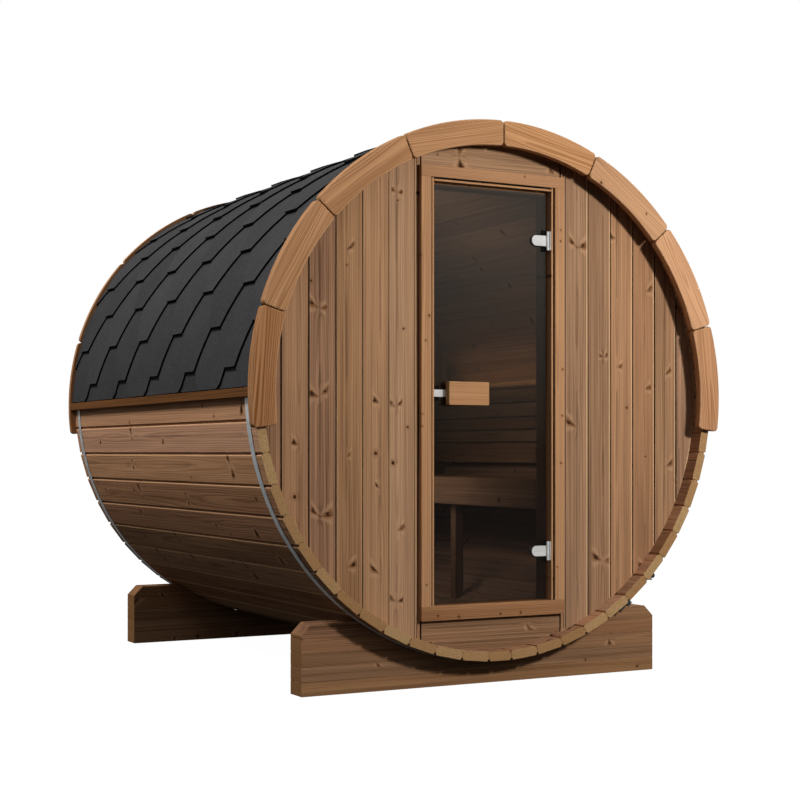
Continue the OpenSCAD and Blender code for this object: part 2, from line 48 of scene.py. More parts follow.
print("frame loaded with", len(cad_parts), "nodes")

# Sizes that several pieces share, in metres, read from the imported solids
wallLow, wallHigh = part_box("rear_wall_right")
roofLow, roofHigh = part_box("roof_right")
jambLow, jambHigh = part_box("door_jamb_right")
glassLow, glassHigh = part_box("door_glass")
barrel = dict(
    axisZ=(wallLow.z + wallHigh.z) / 2,  # the end wall is a full disc about the axis
    outerR=1.0,  # flat outer faces of the staves
    innerR=0.964,
    endY=roofHigh.y,  # stave ends
)


def linear(hexColour):  # sRGB hex to the linear colour that a shader takes
    srgb = np.array([int(hexColour[i:i + 2], 16) for i in (1, 3, 5)]) / 255
    curve = np.where(srgb <= 0.04045, srgb / 12.92, ((srgb + 0.055) / 1.055) ** 2.4)
    return (*curve.tolist(), 1.0)


# Adds a shader node and gives back its outputs. A kind such as Math.ADD names the operation too.
# Each value is a socket to link or a constant to set, in the order of the inputs, or a dictionary of both.
def addNode(tree, kind, *values, **settings):
    kind, _, operation = kind.partition(".")
    node = tree.nodes.new("ShaderNode" + kind)
    if operation:
        node.operation = operation
    for key, setting in settings.items():
        setattr(node, key, setting)
    inputs = {}
    for i, value in enumerate(values):
        inputs.update(value if isinstance(value, dict) else {i: value})
    for key, value in inputs.items():
        if isinstance(value, bpy.types.NodeSocket):
            tree.links.new(value, node.inputs[key])
        else:
            node.inputs[key].default_value = value
    return node.outputs


smooth = dict(interpolation_type="SMOOTHSTEP")  # for Map Range: value, from low, from high, to low, to high
rgba = dict(data_type="RGBA")  # for Mix: share in input 0, colours in inputs 6 and 7, result in output 2


def newMaterial(name):
    material = bpy.data.materials.new(name)
    material.use_nodes = True
    material.node_tree.nodes.clear()
    return material, partial(addNode, material.node_tree)


# Outline and mesh tools

def pieceName(node):  # front_wall_left becomes frontWallLeft
    first, *rest = node.split("_")
    return first + "".join(word.capitalize() for word in rest)


def rectangle(x0, y0, x1, y1):
    return np.array([[x0, y0], [x1, y0], [x1, y1], [x0, y1]])


def mirrored(outline):  # the same outline on the other side of x = 0, still anticlockwise
    return outline[::-1] * (-1, 1)


# Each corner p becomes a parabola between a and b, which lie up to reach before and after it:
# (1-s)^2 a + 2s(1-s) p + s^2 b. Neither lies past 0.45 of its edge, so that two corners never meet.
def softCorners(outline, reach, steps=3):
    p = np.asarray(outline, float)
    back, ahead = np.roll(p, 1, 0) - p, np.roll(p, -1, 0) - p
    backLength = np.linalg.norm(back, axis=1, keepdims=True)
    aheadLength = np.linalg.norm(ahead, axis=1, keepdims=True)
    near = np.minimum(reach, 0.45 * np.minimum(backLength, aheadLength))
    a, b = p + back / backLength * near, p + ahead / aheadLength * near
    s = np.linspace(0, 1, steps + 1)[None, :, None]
    return ((1 - s) ** 2 * a[:, None] + 2 * s * (1 - s) * p[:, None] + s ** 2 * b[:, None]).reshape(-1, 2)


# The outline moved inwards by depth: a point goes along the mean of its two edges' inward normals
def drawnIn(outline, depth):
    edge = np.roll(outline, -1, 0) - outline
    edge = edge / np.linalg.norm(edge, axis=1, keepdims=True)
    inward = np.stack([-edge[:, 1], edge[:, 0]], 1)
    before = np.roll(inward, 1, 0)
    return outline + depth * (inward + before) / (1 + (inward * before).sum(1, keepdims=True))


# A board is its outline stacked along w, drawn in by a quarter round at each end:
# inset e(1 - sin t) at height e(1 - cos t), for t from 0 to 90 degrees.
# axes are the world directions of u, v and w; grain is the world direction of the fibres.
# A margin adds a flat strip inside the last edge, where the shader paints a highlight.
def board(outline, length, origin, axes, grain, edges, steps=3, margin=0.0):
    turn = np.linspace(0, np.pi / 2, steps + 1)
    rise, inset = 1 - np.cos(turn), 1 - np.sin(turn)
    heights = np.r_[edges[0] * rise, length - edges[1] * rise[::-1]]
    insets = np.r_[edges[0] * inset, edges[1] * inset[::-1]]
    if margin:
        heights, insets = np.r_[heights, length], np.r_[insets, edges[1] + margin]
    layers = [np.c_[drawnIn(outline, d), np.full(len(outline), h)] for d, h in zip(insets, heights)]
    points = np.asarray(origin) + np.concatenate(layers) @ np.asarray(axes, float)
    ring = np.arange(len(points)).reshape(len(layers), -1)
    ahead = np.roll(ring, -1, 1)
    quads = np.stack([ring[:-1], ahead[:-1], ahead[1:], ring[1:]], -1).reshape(-1, 4)
    faces = [*quads.tolist(), ring[0][::-1].tolist(), ring[-1].tolist()]
    return dict(points=points, faces=faces, grain=np.asarray(grain, float))


# A plank with soft edges between two corners; along is 0, 1 or 2 for a grain in x, y or z
def softBox(low, high, along, soft=0.002):
    u, v = [(1, 2), (2, 0), (0, 1)][along]
    axes = np.eye(3)[[u, v, along]]
    outline = softCorners(rectangle(low[u], low[v], high[u], high[v]), soft)
    origin = axes[2] * low[along]
    return board(outline, high[along] - low[along], origin, axes, axes[2], (soft, soft), steps=2)


def setAttribute(mesh, name, domain, values):  # numbers or vectors on the points or faces
    kind, field = ("FLOAT", "value") if values.ndim == 1 else ("FLOAT_VECTOR", "vector")
    mesh.attributes.new(name, kind, domain).data.foreach_set(field, values.ravel())


def faceValues(mesh, field, width):  # a row of width numbers for each face
    values = np.empty(len(mesh.polygons) * width)
    mesh.polygons.foreach_get(field, values)
    return values.reshape(-1, width)


boardMarks = dict(
    heart=((0, 30), (-0.03, 0.03), (0.02, 0.06)),  # where its tree's heart may lie: along, across, through
    endFacing=0.8,  # cosine past which a face is a sawn end
    alongGrain=0.9,  # cosine past which an edge runs with the grain
    edgeWidth=0.008,  # a face narrower than this is part of a board's edge, where a highlight is painted
    shadedSideHighlight=0.15,  # share of the painted edge highlight on the side away from a board's lit side, which is in shade
)


# Painted highlight on a board's edges, the thin strips along it: 1 where area over longest side is below
# edgeWidth.
# On the side away from the board's lit side, which lies in shade, it is only a small share.
def edgeHighlightShares(mesh, points, faces, fibres, middles, litSides):
    corners = points[np.array([face[:4] for face in faces])]
    sides = corners - np.roll(corners, 1, 1)
    lengths = np.linalg.norm(sides, axis=2)
    longest = lengths.max(1)
    longestWay = sides[np.arange(len(faces)), lengths.argmax(1)] / longest[:, None]
    withGrain = np.abs((longestWay * fibres).sum(1)) > boardMarks["alongGrain"]
    narrow = faceValues(mesh, "area", 1)[:, 0] / longest < boardMarks["edgeWidth"]
    offset = (faceValues(mesh, "center", 3) - middles) * litSides
    return (narrow & withGrain) * np.where(offset.sum(1) >= 0, 1.0, boardMarks["shadedSideHighlight"])


# Places for the shaders: grain holds metres along, across and through the board, measured from the heart
# of its own tree, tone is the board's own shade, endGrain marks its sawn ends and softEdge its edges, where
# a highlight is painted
def boardPiece(name, boards, material, nodes, body="root"):
    points = np.concatenate([b["points"] for b in boards])
    starts = np.cumsum([0] + [len(b["points"]) for b in boards])
    faces = [[i + start for i in face] for b, start in zip(boards, starts) for face in b["faces"]]
    mesh = bpy.data.meshes.new(name)
    mesh.from_pydata(points.tolist(), [], faces)
    places, tones, fibres, middles, litSides = [], [], [], [], []
    for b in boards:
        along = b["grain"] / np.linalg.norm(b["grain"])
        thinness = np.ptp(b["points"], axis=0) + 9 * np.abs(along)  # 9 m rules out the way of the grain
        through = b.get("face", np.eye(3)[np.argmin(thinness)])  # its face, or its thinnest way
        through = through - along * (through @ along)
        through /= np.linalg.norm(through)
        heart = [rng.uniform(*reach) for reach in boardMarks["heart"]]
        ownTone = rng.uniform(0, 1)
        middle = (b["points"].min(0) + b["points"].max(0)) / 2
        ways = np.stack([along, np.cross(through, along), through], 1)
        places.append((b["points"] - middle) @ ways + heart)
        tones.append(np.full(len(b["points"]), b.get("tone", ownTone)))
        fibres.append(along)
        middles.append(middle)
        litSides.append(b.get("litSide", np.zeros(3)))
    owner = np.repeat(np.arange(len(boards)), [len(b["faces"]) for b in boards])  # the board of each face
    fibres, middles, litSides = (np.array(rows)[owner] for rows in (fibres, middles, litSides))
    facing = np.abs((faceValues(mesh, "normal", 3) * fibres).sum(1))
    setAttribute(mesh, "grain", "POINT", np.concatenate(places))
    setAttribute(mesh, "tone", "POINT", np.concatenate(tones))
    setAttribute(mesh, "endGrain", "FACE", (facing > boardMarks["endFacing"]).astype(float))
    # softEdge marks the edges where the shader paints a highlight, fully on the lit side
    setAttribute(mesh, "softEdge", "FACE", edgeHighlightShares(mesh, points, faces, fibres, middles, litSides))
    return finishPiece(name, mesh, [material], nodes, body)


def finishPiece(name, mesh, materials, nodes, body, sharpAngle=48):
    for material in materials:
        mesh.materials.append(material)
    mesh.shade_smooth()
    mesh.set_sharp_from_angle(angle=math.radians(sharpAngle))
    piece = bpy.data.objects.new(name, mesh)
    scene.collection.objects.link(piece)
    even = piece.modifiers.new("evenFaces", "WEIGHTED_NORMAL")  # wide faces stay flat beside soft edges
    even.keep_sharp = True
    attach(piece, body)
    if nodes:
        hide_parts(*nodes)
    return piece


# The box of each separate solid in a CAD node: triangles that share a corner share a label
def solidBoxes(node):
    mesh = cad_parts[node].data
    corners = np.empty(len(mesh.vertices) * 3)
    mesh.vertices.foreach_get("co", corners)
    loops = np.empty(len(mesh.loops), int)
    mesh.loops.foreach_get("vertex_index", loops)
    spots, same = np.unique(np.round(corners.reshape(-1, 3), 5), axis=0, return_inverse=True)
    triangles = same.ravel()[loops].reshape(-1, 3)
    label = np.arange(len(spots))
    while True:
        lowest = label.copy()
        np.minimum.at(lowest, triangles.ravel(), np.repeat(label[triangles].min(1), 3))
        lowest = lowest[lowest]
        if (lowest == label).all():
            break
        label = lowest
    return [(spots[label == k].min(0), spots[label == k].max(0)) for k in np.unique(label)]


# A rectangle cut off by the round of the barrel: at each x the height stays between two arcs.
# What is lower or narrower than a sliver is left off.
def roundClip(x0, x1, z0, z1, r, columns=25, sliver=0.0005):
    nearest = max(z0 - barrel["axisZ"], barrel["axisZ"] - z1, 0.0)  # height where the piece is widest
    widest = math.sqrt(r * r - nearest * nearest) - sliver
    x = np.linspace(max(x0, -widest), min(x1, widest), columns)
    half = np.sqrt(np.maximum(r * r - x * x, 0))
    low = np.maximum(z0, barrel["axisZ"] - half)
    high = np.minimum(z1, barrel["axisZ"] + half)
    keep = high - low > sliver
    return np.r_[np.c_[x, low][keep], np.c_[x, high][keep][::-1]]


# Materials

# What all the woods share: sizes in metres along, across and through a board
woodGrain = dict(
    noise=dict(  # cells per metre, detail and roughness
        wander=((0.55, 6.0, 6.0), 3.0, 0.55),  # bends the rings, over 170 mm across
        fibre=((2.0, 220.0, 220.0), 4.0, 0.7),  # 4.5 mm wide, as real fibres are too fine to show
        ribbon=((0.6, 75.0, 75.0), 2.0, 0.5),  # 13 mm wide
        stain=((1.1, 16.0, 16.0), 2.0, 0.5),  # 60 mm wide
    ),
    streaks=dict(fibre=(0.2, 0.26), ribbon=(0.2, 0.17), stain=(0.25, 0.2)),  # half range, depth of shade
    wobble=55.0, wobbleReach=(0.012, 0.006, 0.0),  # 18 mm cells that make outlines uneven
    knotRandom=0.9, knotCore=(1.1, 0.7), knotHalo=(3.4, 0.9), haloShare=0.35,  # edges in knot sizes
    noKnot=0.0005,  # size of a knot that is left out
    whorlPlace=(0.25, 0.7), branchShift=0.05,  # shares of a whorl's cell
    sway=0.02, branchRoot=0.0025, branchTaper=0.2, branchEnd=(0.010, 0.052),
    branchFade=(1.15, 0.85), branchStart=(0.15, 0.6, 0.25),  # shares of a branch's length
    branch=dict(heart=(1.2, 0.6, 1.0), rosy=(2.6, 0.8, 0.8), rim=(4.6, 2.4, 0.4)),  # half widths, depth
    spots=62.0, spotRange=(0.4, 0.55, 0.3, 1.0),  # 16 mm cells that break a branch up
    pith=(0.004, 0.0005), swirl=(0.045, 0.004), knotPush=0.005, branchPush=0.003,
    lateEnd=0.35, lateCurve=((0.12, 0.02), (0.55, 0.18), (0.86, 1.0)),  # darkness over one ring, outwards
    hueTurn=7.31, richTurn=17.93,  # make two more draws out of a board's tone
    pores=230.0, poreRange=(0.35, 0.65, -0.35, 0.35), poreLate=0.5,  # 4 mm cells on sawn ends
    rough=(0.8, 0.66), bump=0.25, bumpDepth=0.0012,
)


# Knots: one per Voronoi cell of knotStep along by knotRow across, left out of most cells.
# Gives the dark core and the ring round it.
def knotPattern(add, look, place, wobble):
    g = woodGrain
    wobbled = add("VectorMath.MULTIPLY_ADD", wobble, g["wobbleReach"], place)[0]
    cells = add("VectorMath.MULTIPLY", wobbled, (1 / look["knotStep"], 1 / look["knotRow"], 0.0))[0]
    settings = {"Vector": cells, "Scale": 1.0, "Randomness": g["knotRandom"]}
    knots = add("TexVoronoi", settings, voronoi_dimensions="2D")
    chance = add("SeparateColor", knots["Color"])
    present = add("Math.LESS_THAN", chance[0], look["knotShare"])[0]
    size = add("MapRange", chance[1], 0.0, 1.0, look["knotSmall"], look["knotLarge"])[0]
    size = add("Math.MULTIPLY_ADD", size, present, g["noKnot"])[0]
    reach = add("Math.DIVIDE", knots["Distance"], size)[0]
    return [add("MapRange", reach, *g[edge], **smooth)[0] for edge in ("knotCore", "knotHalo")]


# Whorls: every whorlStep along the tree up to two branches leave the heart line, each a dark
# spike that widens outwards along the line local = slope * distance from the heart.
# Gives the spike, its reddish sides, its pale rim and how far it pushes the rings aside.
def whorlPattern(add, look, place, parts, wobble):
    g = woodGrain
    step = add("Math.DIVIDE", parts["X"], look["whorlStep"])[0]
    cell = add("Math.FLOOR", step)[0]
    side = add("Math.SIGN", parts["Y"])[0]
    branch = add("CombineXYZ", cell, side)[0]
    draws = add("TexWhiteNoise", {"Vector": branch}, noise_dimensions="2D")
    draw = add("SeparateColor", draws["Color"])
    whorl = add("TexWhiteNoise", {"W": cell}, noise_dimensions="1D")["Value"]

    middle = add("MapRange", whorl, 0.0, 1.0, *g["whorlPlace"])[0]
    middle = add("Math.MULTIPLY_ADD", draw[0], g["branchShift"], middle)[0]
    local = add("Math.FRACT", step)[0]
    local = add("Math.SUBTRACT", local, middle)[0]
    local = add("Math.MULTIPLY", local, look["whorlStep"])[0]
    sway = add("SeparateColor", wobble)[1]
    aside = add("Math.MULTIPLY_ADD", sway, g["sway"], parts["Y"])[0]
    aside = add("Math.SUBTRACT", aside, g["sway"] / 2)[0]
    aside = add("Math.ABSOLUTE", aside)[0]
    slope = add("MapRange", draw[1], 0.0, 1.0, look["slopeLow"], look["slopeHigh"])[0]
    line = add("Math.MULTIPLY", slope, aside)[0]
    off = add("Math.SUBTRACT", local, line)[0]
    off = add("Math.ABSOLUTE", off)[0]
    width = add("Math.MULTIPLY_ADD", aside, g["branchTaper"], g["branchRoot"])[0]
    across = add("Math.DIVIDE", off, width)[0]

    length = add("MapRange", draw[2], 0.0, 1.0, *g["branchEnd"])[0]
    share = add("Math.DIVIDE", aside, length)[0]
    outward = add("MapRange", share, *g["branchStart"])[0]
    inside = add("MapRange", share, *g["branchFade"])[0]
    grows = add("Math.LESS_THAN", draws["Value"], look["whorlShare"])[0]
    inside = add("Math.MULTIPLY", inside, grows)[0]
    shown = add("Math.MULTIPLY", inside, outward)[0]
    strips = {}
    for name, (outer, inner, depth) in g["branch"].items():
        strip = add("MapRange", across, outer, inner, 0.0, depth, **smooth)[0]
        strips[name] = add("Math.MULTIPLY", strip, shown)[0]

    spots = add("TexNoise", {"Vector": place, "Scale": g["spots"], "Detail": 1.0})["Fac"]
    spots = add("MapRange", spots, *g["spotRange"])[0]
    spike = add("Math.MULTIPLY", strips["heart"], spots)[0]
    pith = add("Math.ABSOLUTE", parts["Y"])[0]
    pith = add("MapRange", pith, *g["pith"])[0]
    for factor in (whorl, look["pith"]):
        pith = add("Math.MULTIPLY", pith, factor)[0]
    spike = add("Math.MAXIMUM", spike, pith)[0]
    swirl = add("MapRange", off, *g["swirl"], **smooth)[0]
    swirl = add("Math.MULTIPLY", swirl, inside)[0]
    return spike, strips["rosy"], strips["rim"], swirl


# Growth rings: the distance from the heart of the tree, which wanders along the board, over ringPitch;
# its fraction runs through a curve that is darkest in the latewood, near the end of a ring
def ringPattern(add, look, parts, bends):
    flat = add("CombineXYZ", parts["Y"], parts["Z"])[0]
    radius = add("VectorMath.LENGTH", flat)["Value"]
    for bend, reach in bends:
        radius = add("Math.MULTIPLY_ADD", bend, reach, radius)[0]
    rings = add("Math.DIVIDE", radius, look["ringPitch"])[0]
    phase = add("Math.FRACT", rings)[0]
    late = add("FloatCurve", {"Value": phase})[0]
    curve = late.node.mapping.curves[0]
    curve.points[0].location = (0.0, woodGrain["lateEnd"])
    curve.points[1].location = (1.0, woodGrain["lateEnd"])
    for spot in woodGrain["lateCurve"]:
        curve.points.new(*spot)
    late.node.mapping.update()
    return late


# Heat-treated spruce, planed: brown earlywood, darker latewood lines that arch along the board,
# dark round knots that push the lines aside, paler sawn ends, each board its own shade, and a painted
# highlight along its edges
def heatTreatedSpruce(name, look):
    g = woodGrain
    material, add = newMaterial(name)
    place = add("Attribute", attribute_name="grain")["Vector"]
    tone = add("Attribute", attribute_name="tone")["Fac"]
    sawnEnd = add("Attribute", attribute_name="endGrain")["Fac"]
    # softEdge: the edges, where a highlight is painted
    paintedEdgeLight = add("Attribute", attribute_name="softEdge")["Fac"]
    parts = add("SeparateXYZ", place)
    wobble = add("TexNoise", {"Vector": place, "Scale": g["wobble"], "Detail": 2.0})["Color"]
    noise = {}
    for kind, (cells, detail, roughness) in g["noise"].items():
        stretched = add("VectorMath.MULTIPLY", place, cells)[0]
        settings = {"Vector": stretched, "Scale": 1.0, "Detail": detail, "Roughness": roughness}
        noise[kind] = add("TexNoise", settings)["Fac"]
    knotCore, knotHalo = knotPattern(add, look, place, wobble)
    spike, rosy, rim, swirl = whorlPattern(add, look, place, parts, wobble)
    bends = ((noise["wander"], look["wander"]), (knotHalo, g["knotPush"]), (swirl, g["branchPush"]))
    late = ringPattern(add, look, parts, bends)

    # how dark the wood is: its rings, fibres and stains, and the board's own shade
    dark = add("Math.MULTIPLY", late, look["ringDepth"])[0]
    for kind, (half, depth) in g["streaks"].items():
        depth = depth * look["streaks"]
        streak = add("MapRange", noise[kind], 0.5 - half, 0.5 + half, -depth, depth)[0]
        dark = add("Math.ADD", dark, streak)[0]
    middle, spread = look["middle"], look["toneSpread"]
    shade = add("MapRange", tone, 0.0, 1.0, middle - spread, middle + spread, clamp=False)[0]
    dark = add("Math.ADD", dark, shade, use_clamp=True)[0]
    colour = add("Mix", {0: dark, 6: linear(look["pale"]), 7: linear(look["dark"])}, **rgba)[2]

    # each board leans a little towards red or yellow, and is a little richer or greyer
    leans = []
    for turn, level, spread in (
        (g["hueTurn"], 0.5, look["hueSpread"]), (g["richTurn"], 1.0, look["richSpread"]),
    ):
        lean = add("Math.MULTIPLY", tone, turn)[0]
        lean = add("Math.FRACT", lean)[0]
        leans.append(add("MapRange", lean, 0.0, 1.0, level - spread, level + spread)[0])
    colour = add("HueSaturation", {"Hue": leans[0], "Saturation": leans[1], "Color": colour})[0]

    # layers over it: a branch's rim, the ring round a knot, the knot, the sawn ends and the painted
    # highlight on the edges
    ringed = add("Math.MULTIPLY_ADD", knotHalo, g["haloShare"], rosy, use_clamp=True)[0]
    knotty = add("Math.MAXIMUM", knotCore, spike)[0]
    knotty = add("Math.MULTIPLY", knotty, look["knotDepth"])[0]
    settings = {"Vector": place, "Scale": g["pores"], "Detail": 2.0, "Roughness": 0.7}
    pores = add("TexNoise", settings)["Fac"]
    pores = add("MapRange", pores, *g["poreRange"])[0]
    pores = add("Math.MULTIPLY_ADD", late, g["poreLate"], pores, use_clamp=True)[0]
    ends = add("Mix", {0: tone, 6: linear(look["endPale"]), 7: linear(look["endWarm"])}, **rgba)[2]
    ends = add("Mix", {0: pores, 6: ends, 7: linear(look["endDark"])}, **rgba)[2]
    # the edge colour is a painted highlight, its share set by the look
    paintedEdgeLight = add("Math.MULTIPLY", paintedEdgeLight, look["edgeHighlightShare"])[0]
    for share, layer in (
        (rim, linear(look["rim"])), (ringed, linear(look["halo"])), (knotty, linear(look["knot"])),
        (sawnEnd, ends), (paintedEdgeLight, linear(look["edge"])),
    ):
        colour = add("Mix", {0: share, 6: colour, 7: layer}, **rgba)[2]

    rough = add("MapRange", dark, 0.0, 1.0, *g["rough"])[0]
    relief = add("Math.SUBTRACT", noise["fibre"], late)[0]
    bump = add("Bump", {"Height": relief, "Strength": g["bump"], "Distance": g["bumpDepth"]})[0]
    surface = add("BsdfPrincipled", {
        "Base Color": colour, "Roughness": rough, "Normal": bump, "IOR": 1.5, "Specular IOR Level": 0.01,
    })[0]
    add("OutputMaterial", surface)
    return material


# Mineral granules on bitumen: a matt charcoal face with paler and darker grit, each tab its own shade.
# Real grit is about 1 mm; it is drawn at 5 mm so that it shows
def granuleShingle(look):
    material, add = newMaterial("granuleShingle")
    place = add("TexCoord")["Object"]
    tone = add("Attribute", attribute_name="tone")["Fac"]
    settings = {"Vector": place, "Scale": 1 / look["grit"], "Detail": 2.0, "Roughness": 0.7}
    grit = add("TexNoise", settings)["Fac"]
    cloud = add("TexNoise", {"Vector": place, "Scale": 1 / look["cloud"], "Detail": 3.0})["Fac"]
    mix = add("MapRange", grit, *look["gritRange"])[0]
    mix = add("Math.MULTIPLY_ADD", cloud, look["cloudDepth"], mix)[0]
    mix = add("Math.MULTIPLY_ADD", tone, look["toneDepth"], mix, use_clamp=True)[0]
    colour = add("Mix", {0: mix, 6: linear(look["dark"]), 7: linear(look["pale"])}, **rgba)[2]
    bump = add("Bump", {"Height": grit, "Strength": 0.5, "Distance": 0.002})[0]
    surface = add("BsdfPrincipled", {
        "Base Color": colour, "Roughness": 0.9, "Normal": bump, "Specular IOR Level": 0.08,
    })[0]
    add("OutputMaterial", surface)
    return material


# Cut bitumen: near black, which also paints the shade under each sheet's edge, and slightly greasy, with 11
# mm smears, seen only on the sheets' edges
def bitumenWithPaintedShade():
    material, add = newMaterial("bitumenWithPaintedShade")
    place = add("TexCoord")["Object"]
    smear = add("TexNoise", {"Vector": place, "Scale": 90.0, "Detail": 2.0})["Fac"]
    colour = add("Mix", {0: smear, 6: linear("#050505"), 7: linear("#100f0f")}, **rgba)[2]
    rough = add("MapRange", smear, 0.0, 1.0, 0.6, 0.85)[0]
    surface = add("BsdfPrincipled", {
        "Base Color": colour, "Roughness": rough, "Specular IOR Level": 0.05,
    })[0]
    add("OutputMaterial", surface)
    return material


steelFilm = dict(cells=30.0, fleckShare=0.45, brighter=0.07, duller=0.1)  # a thin film in 33 mm patches


# Galvanised, satin or oiled steel: grey metal with spangle cells or brush lines, under a thin film
def paleSteel(name, look):
    material, add = newMaterial(name)
    place = add("TexCoord")["Object"]
    squeezed = add("VectorMath.MULTIPLY", place, look["stretch"])[0]
    cells = add("TexVoronoi", {"Vector": squeezed, "Scale": 1 / look["cell"]})["Color"]
    fleck = add("SeparateColor", cells)[0]
    film = add("TexNoise", {"Vector": place, "Scale": steelFilm["cells"], "Detail": 3.0})["Fac"]
    mixed = add("Math.MULTIPLY_ADD", fleck, steelFilm["fleckShare"], film)[0]
    colour = add("Mix", {0: mixed, 6: linear(look["dark"]), 7: linear(look["pale"])}, **rgba)[2]
    bright, dull = look["rough"] - steelFilm["brighter"], look["rough"] + steelFilm["duller"]
    rough = add("MapRange", mixed, 0.0, 1.0, bright, dull)[0]
    surface = add("BsdfPrincipled", {"Base Color": colour, "Roughness": rough, "Metallic": look["metal"]})[0]
    add("OutputMaterial", surface)
    return material


# Bronze tinted float glass, toughened: dark and clear, with a faint film that softens its shine
def smokedGlass():
    material, add = newMaterial("smokedGlass")
    place = add("TexCoord")["Object"]
    film = add("TexNoise", {"Vector": place, "Scale": 4.0, "Detail": 4.0})["Fac"]
    rough = add("MapRange", film, 0.0, 1.0, 0.01, 0.06)[0]
    surface = add("BsdfPrincipled", {
        "Base Color": linear("#0f0d0a"), "Roughness": rough, "IOR": 1.5, "Specular IOR Level": 0.62,
        "Alpha": 0.5,
    })[0]
    add("OutputMaterial", surface)
    return material


# Extruded black silicone: matt, with faint dust in 17 mm patches
def blackSilicone():
    material, add = newMaterial("blackSilicone")
    place = add("TexCoord")["Object"]
    dust = add("TexNoise", {"Vector": place, "Scale": 60.0, "Detail": 3.0})["Fac"]
    colour = add("Mix", {0: dust, 6: linear("#060606"), 7: linear("#131211")}, **rgba)[2]
    surface = add("BsdfPrincipled", {"Base Color": colour, "Roughness": 0.7, "Specular IOR Level": 0.1})[0]
    add("OutputMaterial", surface)
    return material


# In each look, edge is the colour of the painted highlight on the boards' edges, and its share how strongly
# it shows
woodLook = dict(
    pale="#b48a68", dark="#553a28", edge="#cda67e", rim="#bf9873", halo="#74492c", knot="#28170c",
    endPale="#b69468", endWarm="#a07850", endDark="#6a4c2e",
    knotStep=0.12, knotRow=0.12, knotShare=0.2, knotSmall=0.022, knotLarge=0.06, knotDepth=0.9,
    whorlStep=0.37, whorlShare=0.52, slopeLow=0.1, slopeHigh=0.9, pith=0.55,
    wander=0.045, ringPitch=0.0055, ringDepth=0.2, streaks=0.8, edgeHighlightShare=0.7,
    middle=0.34, toneSpread=0.19, hueSpread=0.003, richSpread=0.05,
)
staveWood = heatTreatedSpruce("staveSpruce", dict(
    woodLook, pale="#c39470", dark="#543423", edge="#c79b75", knotShare=0.1, whorlStep=0.5, whorlShare=0.5,
    slopeLow=0.05, slopeHigh=0.3, streaks=0.6, edgeHighlightShare=0.5, toneSpread=0.2,
))
wallWood = heatTreatedSpruce("wallSpruce", woodLook)
trimWood = heatTreatedSpruce("trimSpruce", dict(
    woodLook, pale="#c6966e", dark="#7a4f30", edge="#c39770", knotShare=0.12, whorlShare=0.12, pith=0.0,
    wander=0.06, ringDepth=0.36, streaks=0.7, edgeHighlightShare=0.4, middle=0.24, toneSpread=0.3, hueSpread=0.002,
))
frameWood = heatTreatedSpruce("frameSpruce", dict(
    woodLook, pale="#b78962", dark="#7a5236", edge="#b5885f",
    knotStep=0.045, knotRow=0.045, knotShare=0.13, knotSmall=0.05, knotLarge=0.1, whorlShare=0.0, pith=0.0,
    wander=0.03, ringDepth=0.3, streaks=0.7, edgeHighlightShare=0.4,
    middle=0.24, toneSpread=0.34, hueSpread=0.001, richSpread=0.02,
))
cradleWood = heatTreatedSpruce("cradleSpruce", dict(
    woodLook, pale="#a27857", dark="#482f1d", endPale="#86613f", endWarm="#7d5a39", endDark="#4c331f",
    knotShare=0.3, whorlShare=0.3, pith=0.0, edgeHighlightShare=0.0, toneSpread=0.18,
))
cabinWood = heatTreatedSpruce("cabinSpruce", dict(
    woodLook, pale="#b0855f", dark="#6b4932", knotShare=0.12, whorlShare=0.1, pith=0.0,
    ringDepth=0.3, edgeHighlightShare=0.2,
))
# The battens' dark colours paint the shade they lie in under the eaves
battenWood = heatTreatedSpruce("battenSpruceInPaintedShade", dict(
    woodLook, pale="#6e492b", dark="#2c1c12", edge="#51361f", halo="#3a281b", knot="#1d130d",
    endPale="#5e432c", endWarm="#5e432c", endDark="#3d2a1c",
    knotShare=0.1, whorlShare=0.0, pith=0.0, edgeHighlightShare=0.3,
))
shingleFace = granuleShingle(dict(
    pale="#3f3f41", dark="#151517", grit=0.005, gritRange=(0.32, 0.7, 0.0, 0.7), cloud=0.12, cloudDepth=0.35,
    toneDepth=0.22,
))
shingleEdge = bitumenWithPaintedShade()
bandSteel = paleSteel("galvanisedSteel", dict(
    pale="#d6d9da", dark="#aeb2b5", cell=0.014, stretch=(1, 1, 1), rough=0.38, metal=0.5,
))
hingeSteel = paleSteel("satinSteel", dict(
    pale="#e4e4e2", dark="#c4c4c3", cell=0.02, stretch=(1, 1, 14), rough=0.4, metal=0.4,
))
boltSteel = paleSteel("oiledSteel", dict(
    pale="#3c3e40", dark="#151617", cell=0.02, stretch=(1, 1, 1), rough=0.45, metal=0.4,
))
doorGlass = smokedGlass()
sealRubber = blackSilicone()
print("materials made")


# Camera solved from the photograph, in an 800 by 800 frame
cameraView = dict(
    place=(-3.1589, -6.1124, 0.8745), heading=-0.4947,
    focalPixels=1585.85, horizonPixel=452.74, framePixels=800,
)
cameraData = bpy.data.cameras.new("photoCamera")
cameraData.sensor_width = 36.0
cameraData.lens = cameraView["focalPixels"] / cameraView["framePixels"] * cameraData.sensor_width
cameraData.shift_y = (cameraView["horizonPixel"] - cameraView["framePixels"] / 2) / cameraView["framePixels"]
camera = bpy.data.objects.new("photoCamera", cameraData)
camera.location = cameraView["place"]
camera.rotation_euler = (math.pi / 2, 0, cameraView["heading"])
scene.collection.objects.link(camera)
scene.camera = camera


# Staves: flat-faced boards with a bead on one edge and a cove on the other
staveRing = dict(
    perSide=26, width=0.118, keyWidth=0.092, beadR=0.011, beadIn=0.005, arcPoints=9, gap=0.0005,
    softEdge=0.005, ease=0.3, endEdge=0.001,
    slot=0.0095, slotDepth=0.0076, innerSlot=0.006, nick=0.001,  # cut back along the cove
    groups=(0, 7, 13, 20, 26),  # staves of a side at which the nodes part, from the bottom up
    leftTones=(0.8, 0.7, 0.6, 0.1, 0.0, 0.2),  # from the lowest up
)


